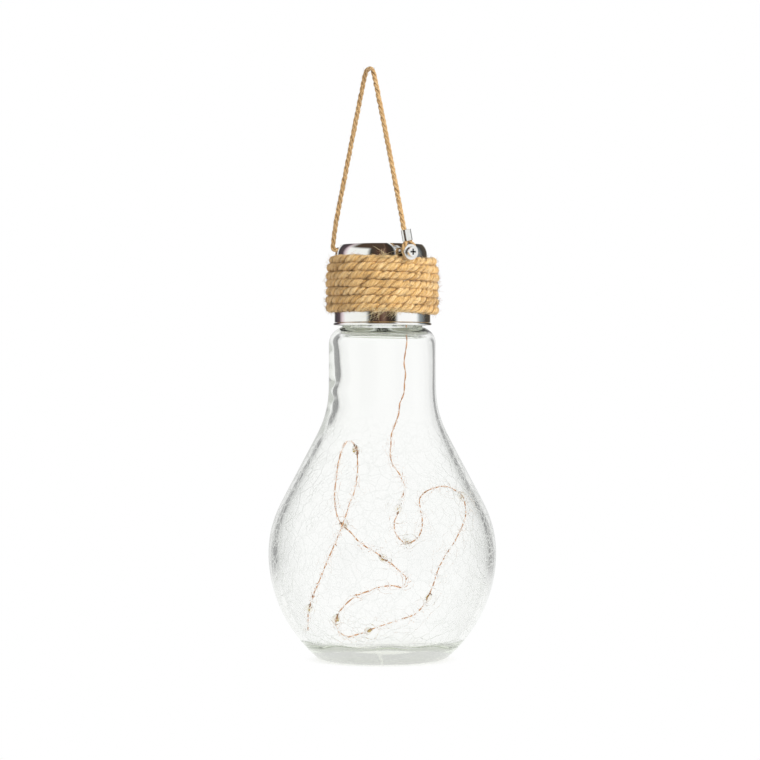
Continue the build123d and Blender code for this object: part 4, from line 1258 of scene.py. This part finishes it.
def floor_paint():
    """White paint that takes a shadow near the jar, and further off shows mirrors the studio."""
    material, tree, principled = new_material("floor_paint")
    feed(tree, principled, FLOOR_SURFACE)
    path = tree.nodes.new("ShaderNodeLightPath").outputs
    seen = maths(tree, "MAXIMUM", path["Is Camera Ray"], path["Is Glossy Ray"])
    seen = maths(tree, "MAXIMUM", seen, path["Is Transmission Ray"])
    place = object_place(tree)
    away = vector_maths(tree, "LENGTH", place, result="Value")
    white_share = ranged(tree, away, *SHADOW_REACH, 1 - SHADOW_SHARE, 1.0, SMOOTH)
    far_off = ranged(tree, away, *STUDIO_REACH, kind=SMOOTH)
    ring = placed(tree, STUDIO_RING, vector=place)
    mirrored = blended(tree, path["Is Singular Ray"], ring["Colour"], GLASS_ROOM)
    beyond = blended(tree, path["Is Transmission Ray"], mirrored, ring["Cards"])
    reflected = maths(tree, "GREATER_THAN", path["Glossy Depth"], ANY_BOUNCE)
    tone = blended(tree, maths(tree, "MULTIPLY", far_off, reflected), WHITE, beyond)
    white = add_node(tree, "ShaderNodeEmission", {"Color": tone, "Strength": 1.0}).outputs[0]
    share = maths(tree, "MULTIPLY", seen, white_share)
    surface = either(tree, share, principled.outputs[0], white)
    feed(tree, tree.nodes["Material Output"], {"Surface": surface})
    return material


bpy.ops.object.select_all(action="DESELECT")
bpy.ops.mesh.primitive_plane_add(size=FLOOR_SIZE, location=(0, 0, 0))
floor = bpy.context.object
floor.name = "floor"
floor.data.materials.append(floor_paint())
print("floor is", FLOOR_SIZE, "m wide")

# %% World
CEILING = (0.075, 0.05, 0.035, 1.0)
CEILING_RISE = (0.46, 0.66)
SKYLIGHT_REACH = (-0.05, 0.25)
SKYLIGHT_REST = 0.25
WINDOW_BEARING = math.radians(27)
WINDOW_EDGE = (math.radians(16), math.radians(24))
AMBIENT = 0.42
CARD_TOP = (0.25, 0.45)


def backdrop(tree, colour, strength):
    """The shader of an even backdrop."""
    return add_node(tree, "ShaderNodeBackground", {"Color": colour, "Strength": strength}).outputs[0]


def hang_studio(tree):
    """Even light on the jar, white behind it, the studio in mirrors and grey cards inside the glass."""
    looking = tree.nodes.new("ShaderNodeTexCoord").outputs["Generated"]
    way = split(tree, looking)
    ring = placed(tree, STUDIO_RING, vector=looking)
    overhead = ranged(tree, way["Z"], *CEILING_RISE, kind=SMOOTH)
    off_window = maths(tree, "ABSOLUTE", maths(tree, "SUBTRACT", ring["Bearing"], WINDOW_BEARING))
    skylight = ranged(tree, way["Y"], *SKYLIGHT_REACH, 1.0, SKYLIGHT_REST)
    ceiling = maths(tree, "MULTIPLY", overhead, skylight)
    ceiling = maths(tree, "MULTIPLY", ceiling, ranged(tree, off_window, *WINDOW_EDGE))
    room = blended(tree, ceiling, ring["Colour"], CEILING)
    path = tree.nodes.new("ShaderNodeLightPath").outputs
    over_cards = ranged(tree, maths(tree, "ABSOLUTE", way["Z"]), *CARD_TOP)
    unreflected = maths(tree, "LESS_THAN", path["Glossy Depth"], ANY_BOUNCE)
    white_behind = maths(tree, "MAXIMUM", over_cards, unreflected)
    backlight = maths(tree, "MAXIMUM", ring["Cards"], white_behind)
    in_glass = blended(tree, path["Is Singular Ray"], room, GLASS_ROOM)
    ambient = backdrop(tree, WHITE, AMBIENT)
    mirrored = either(tree, path["Is Glossy Ray"], ambient, backdrop(tree, in_glass, 1.0))
    seen = maths(tree, "MAXIMUM", path["Is Camera Ray"], path["Is Transmission Ray"])
    shown = either(tree, seen, mirrored, backdrop(tree, WHITE, backlight))
    add_node(tree, "ShaderNodeOutputWorld", {"Surface": shown})


world = bpy.data.worlds.new("studio")
scene.world = world
world.use_nodes = True
world.node_tree.nodes.clear()
hang_studio(world.node_tree)
print("studio has", len(world.node_tree.nodes), "nodes")

# %% Lamps
# Name, place, size, power and colour
LAMPS = [
    ("key_lamp", (0.85, -0.75, 0.7), 0.6, 17.0, (1.0, 0.98, 0.92)),
    ("fill_lamp", (-0.9, -0.6, 0.45), 0.8, 3.0, (1.0, 0.94, 0.86)),
    ("back_lamp", (-0.3, 0.95, 0.8), 0.8, 7.0, (1.0, 0.97, 0.92)),
]
LAMP_AIM = Vector((0, 0, 0.13))

for name, spot, size, power, colour in LAMPS:
    aim = (LAMP_AIM - Vector(spot)).to_track_quat("-Z", "Y").to_euler()
    bpy.ops.object.light_add(type="AREA", location=spot, rotation=aim)
    lamp = bpy.context.object
    lamp.name = name
    lamp.data.size = size
    lamp.data.energy = power
    lamp.data.color = colour
    lamp.visible_glossy = False
    lamp.visible_transmission = False
    print(name, "gives", power, "W")

# %% [markdown]
# ## Finish
# The view transform stays plain, so that a colour shows as it is written.

# %% Finish
scene.view_settings.view_transform = "Standard"
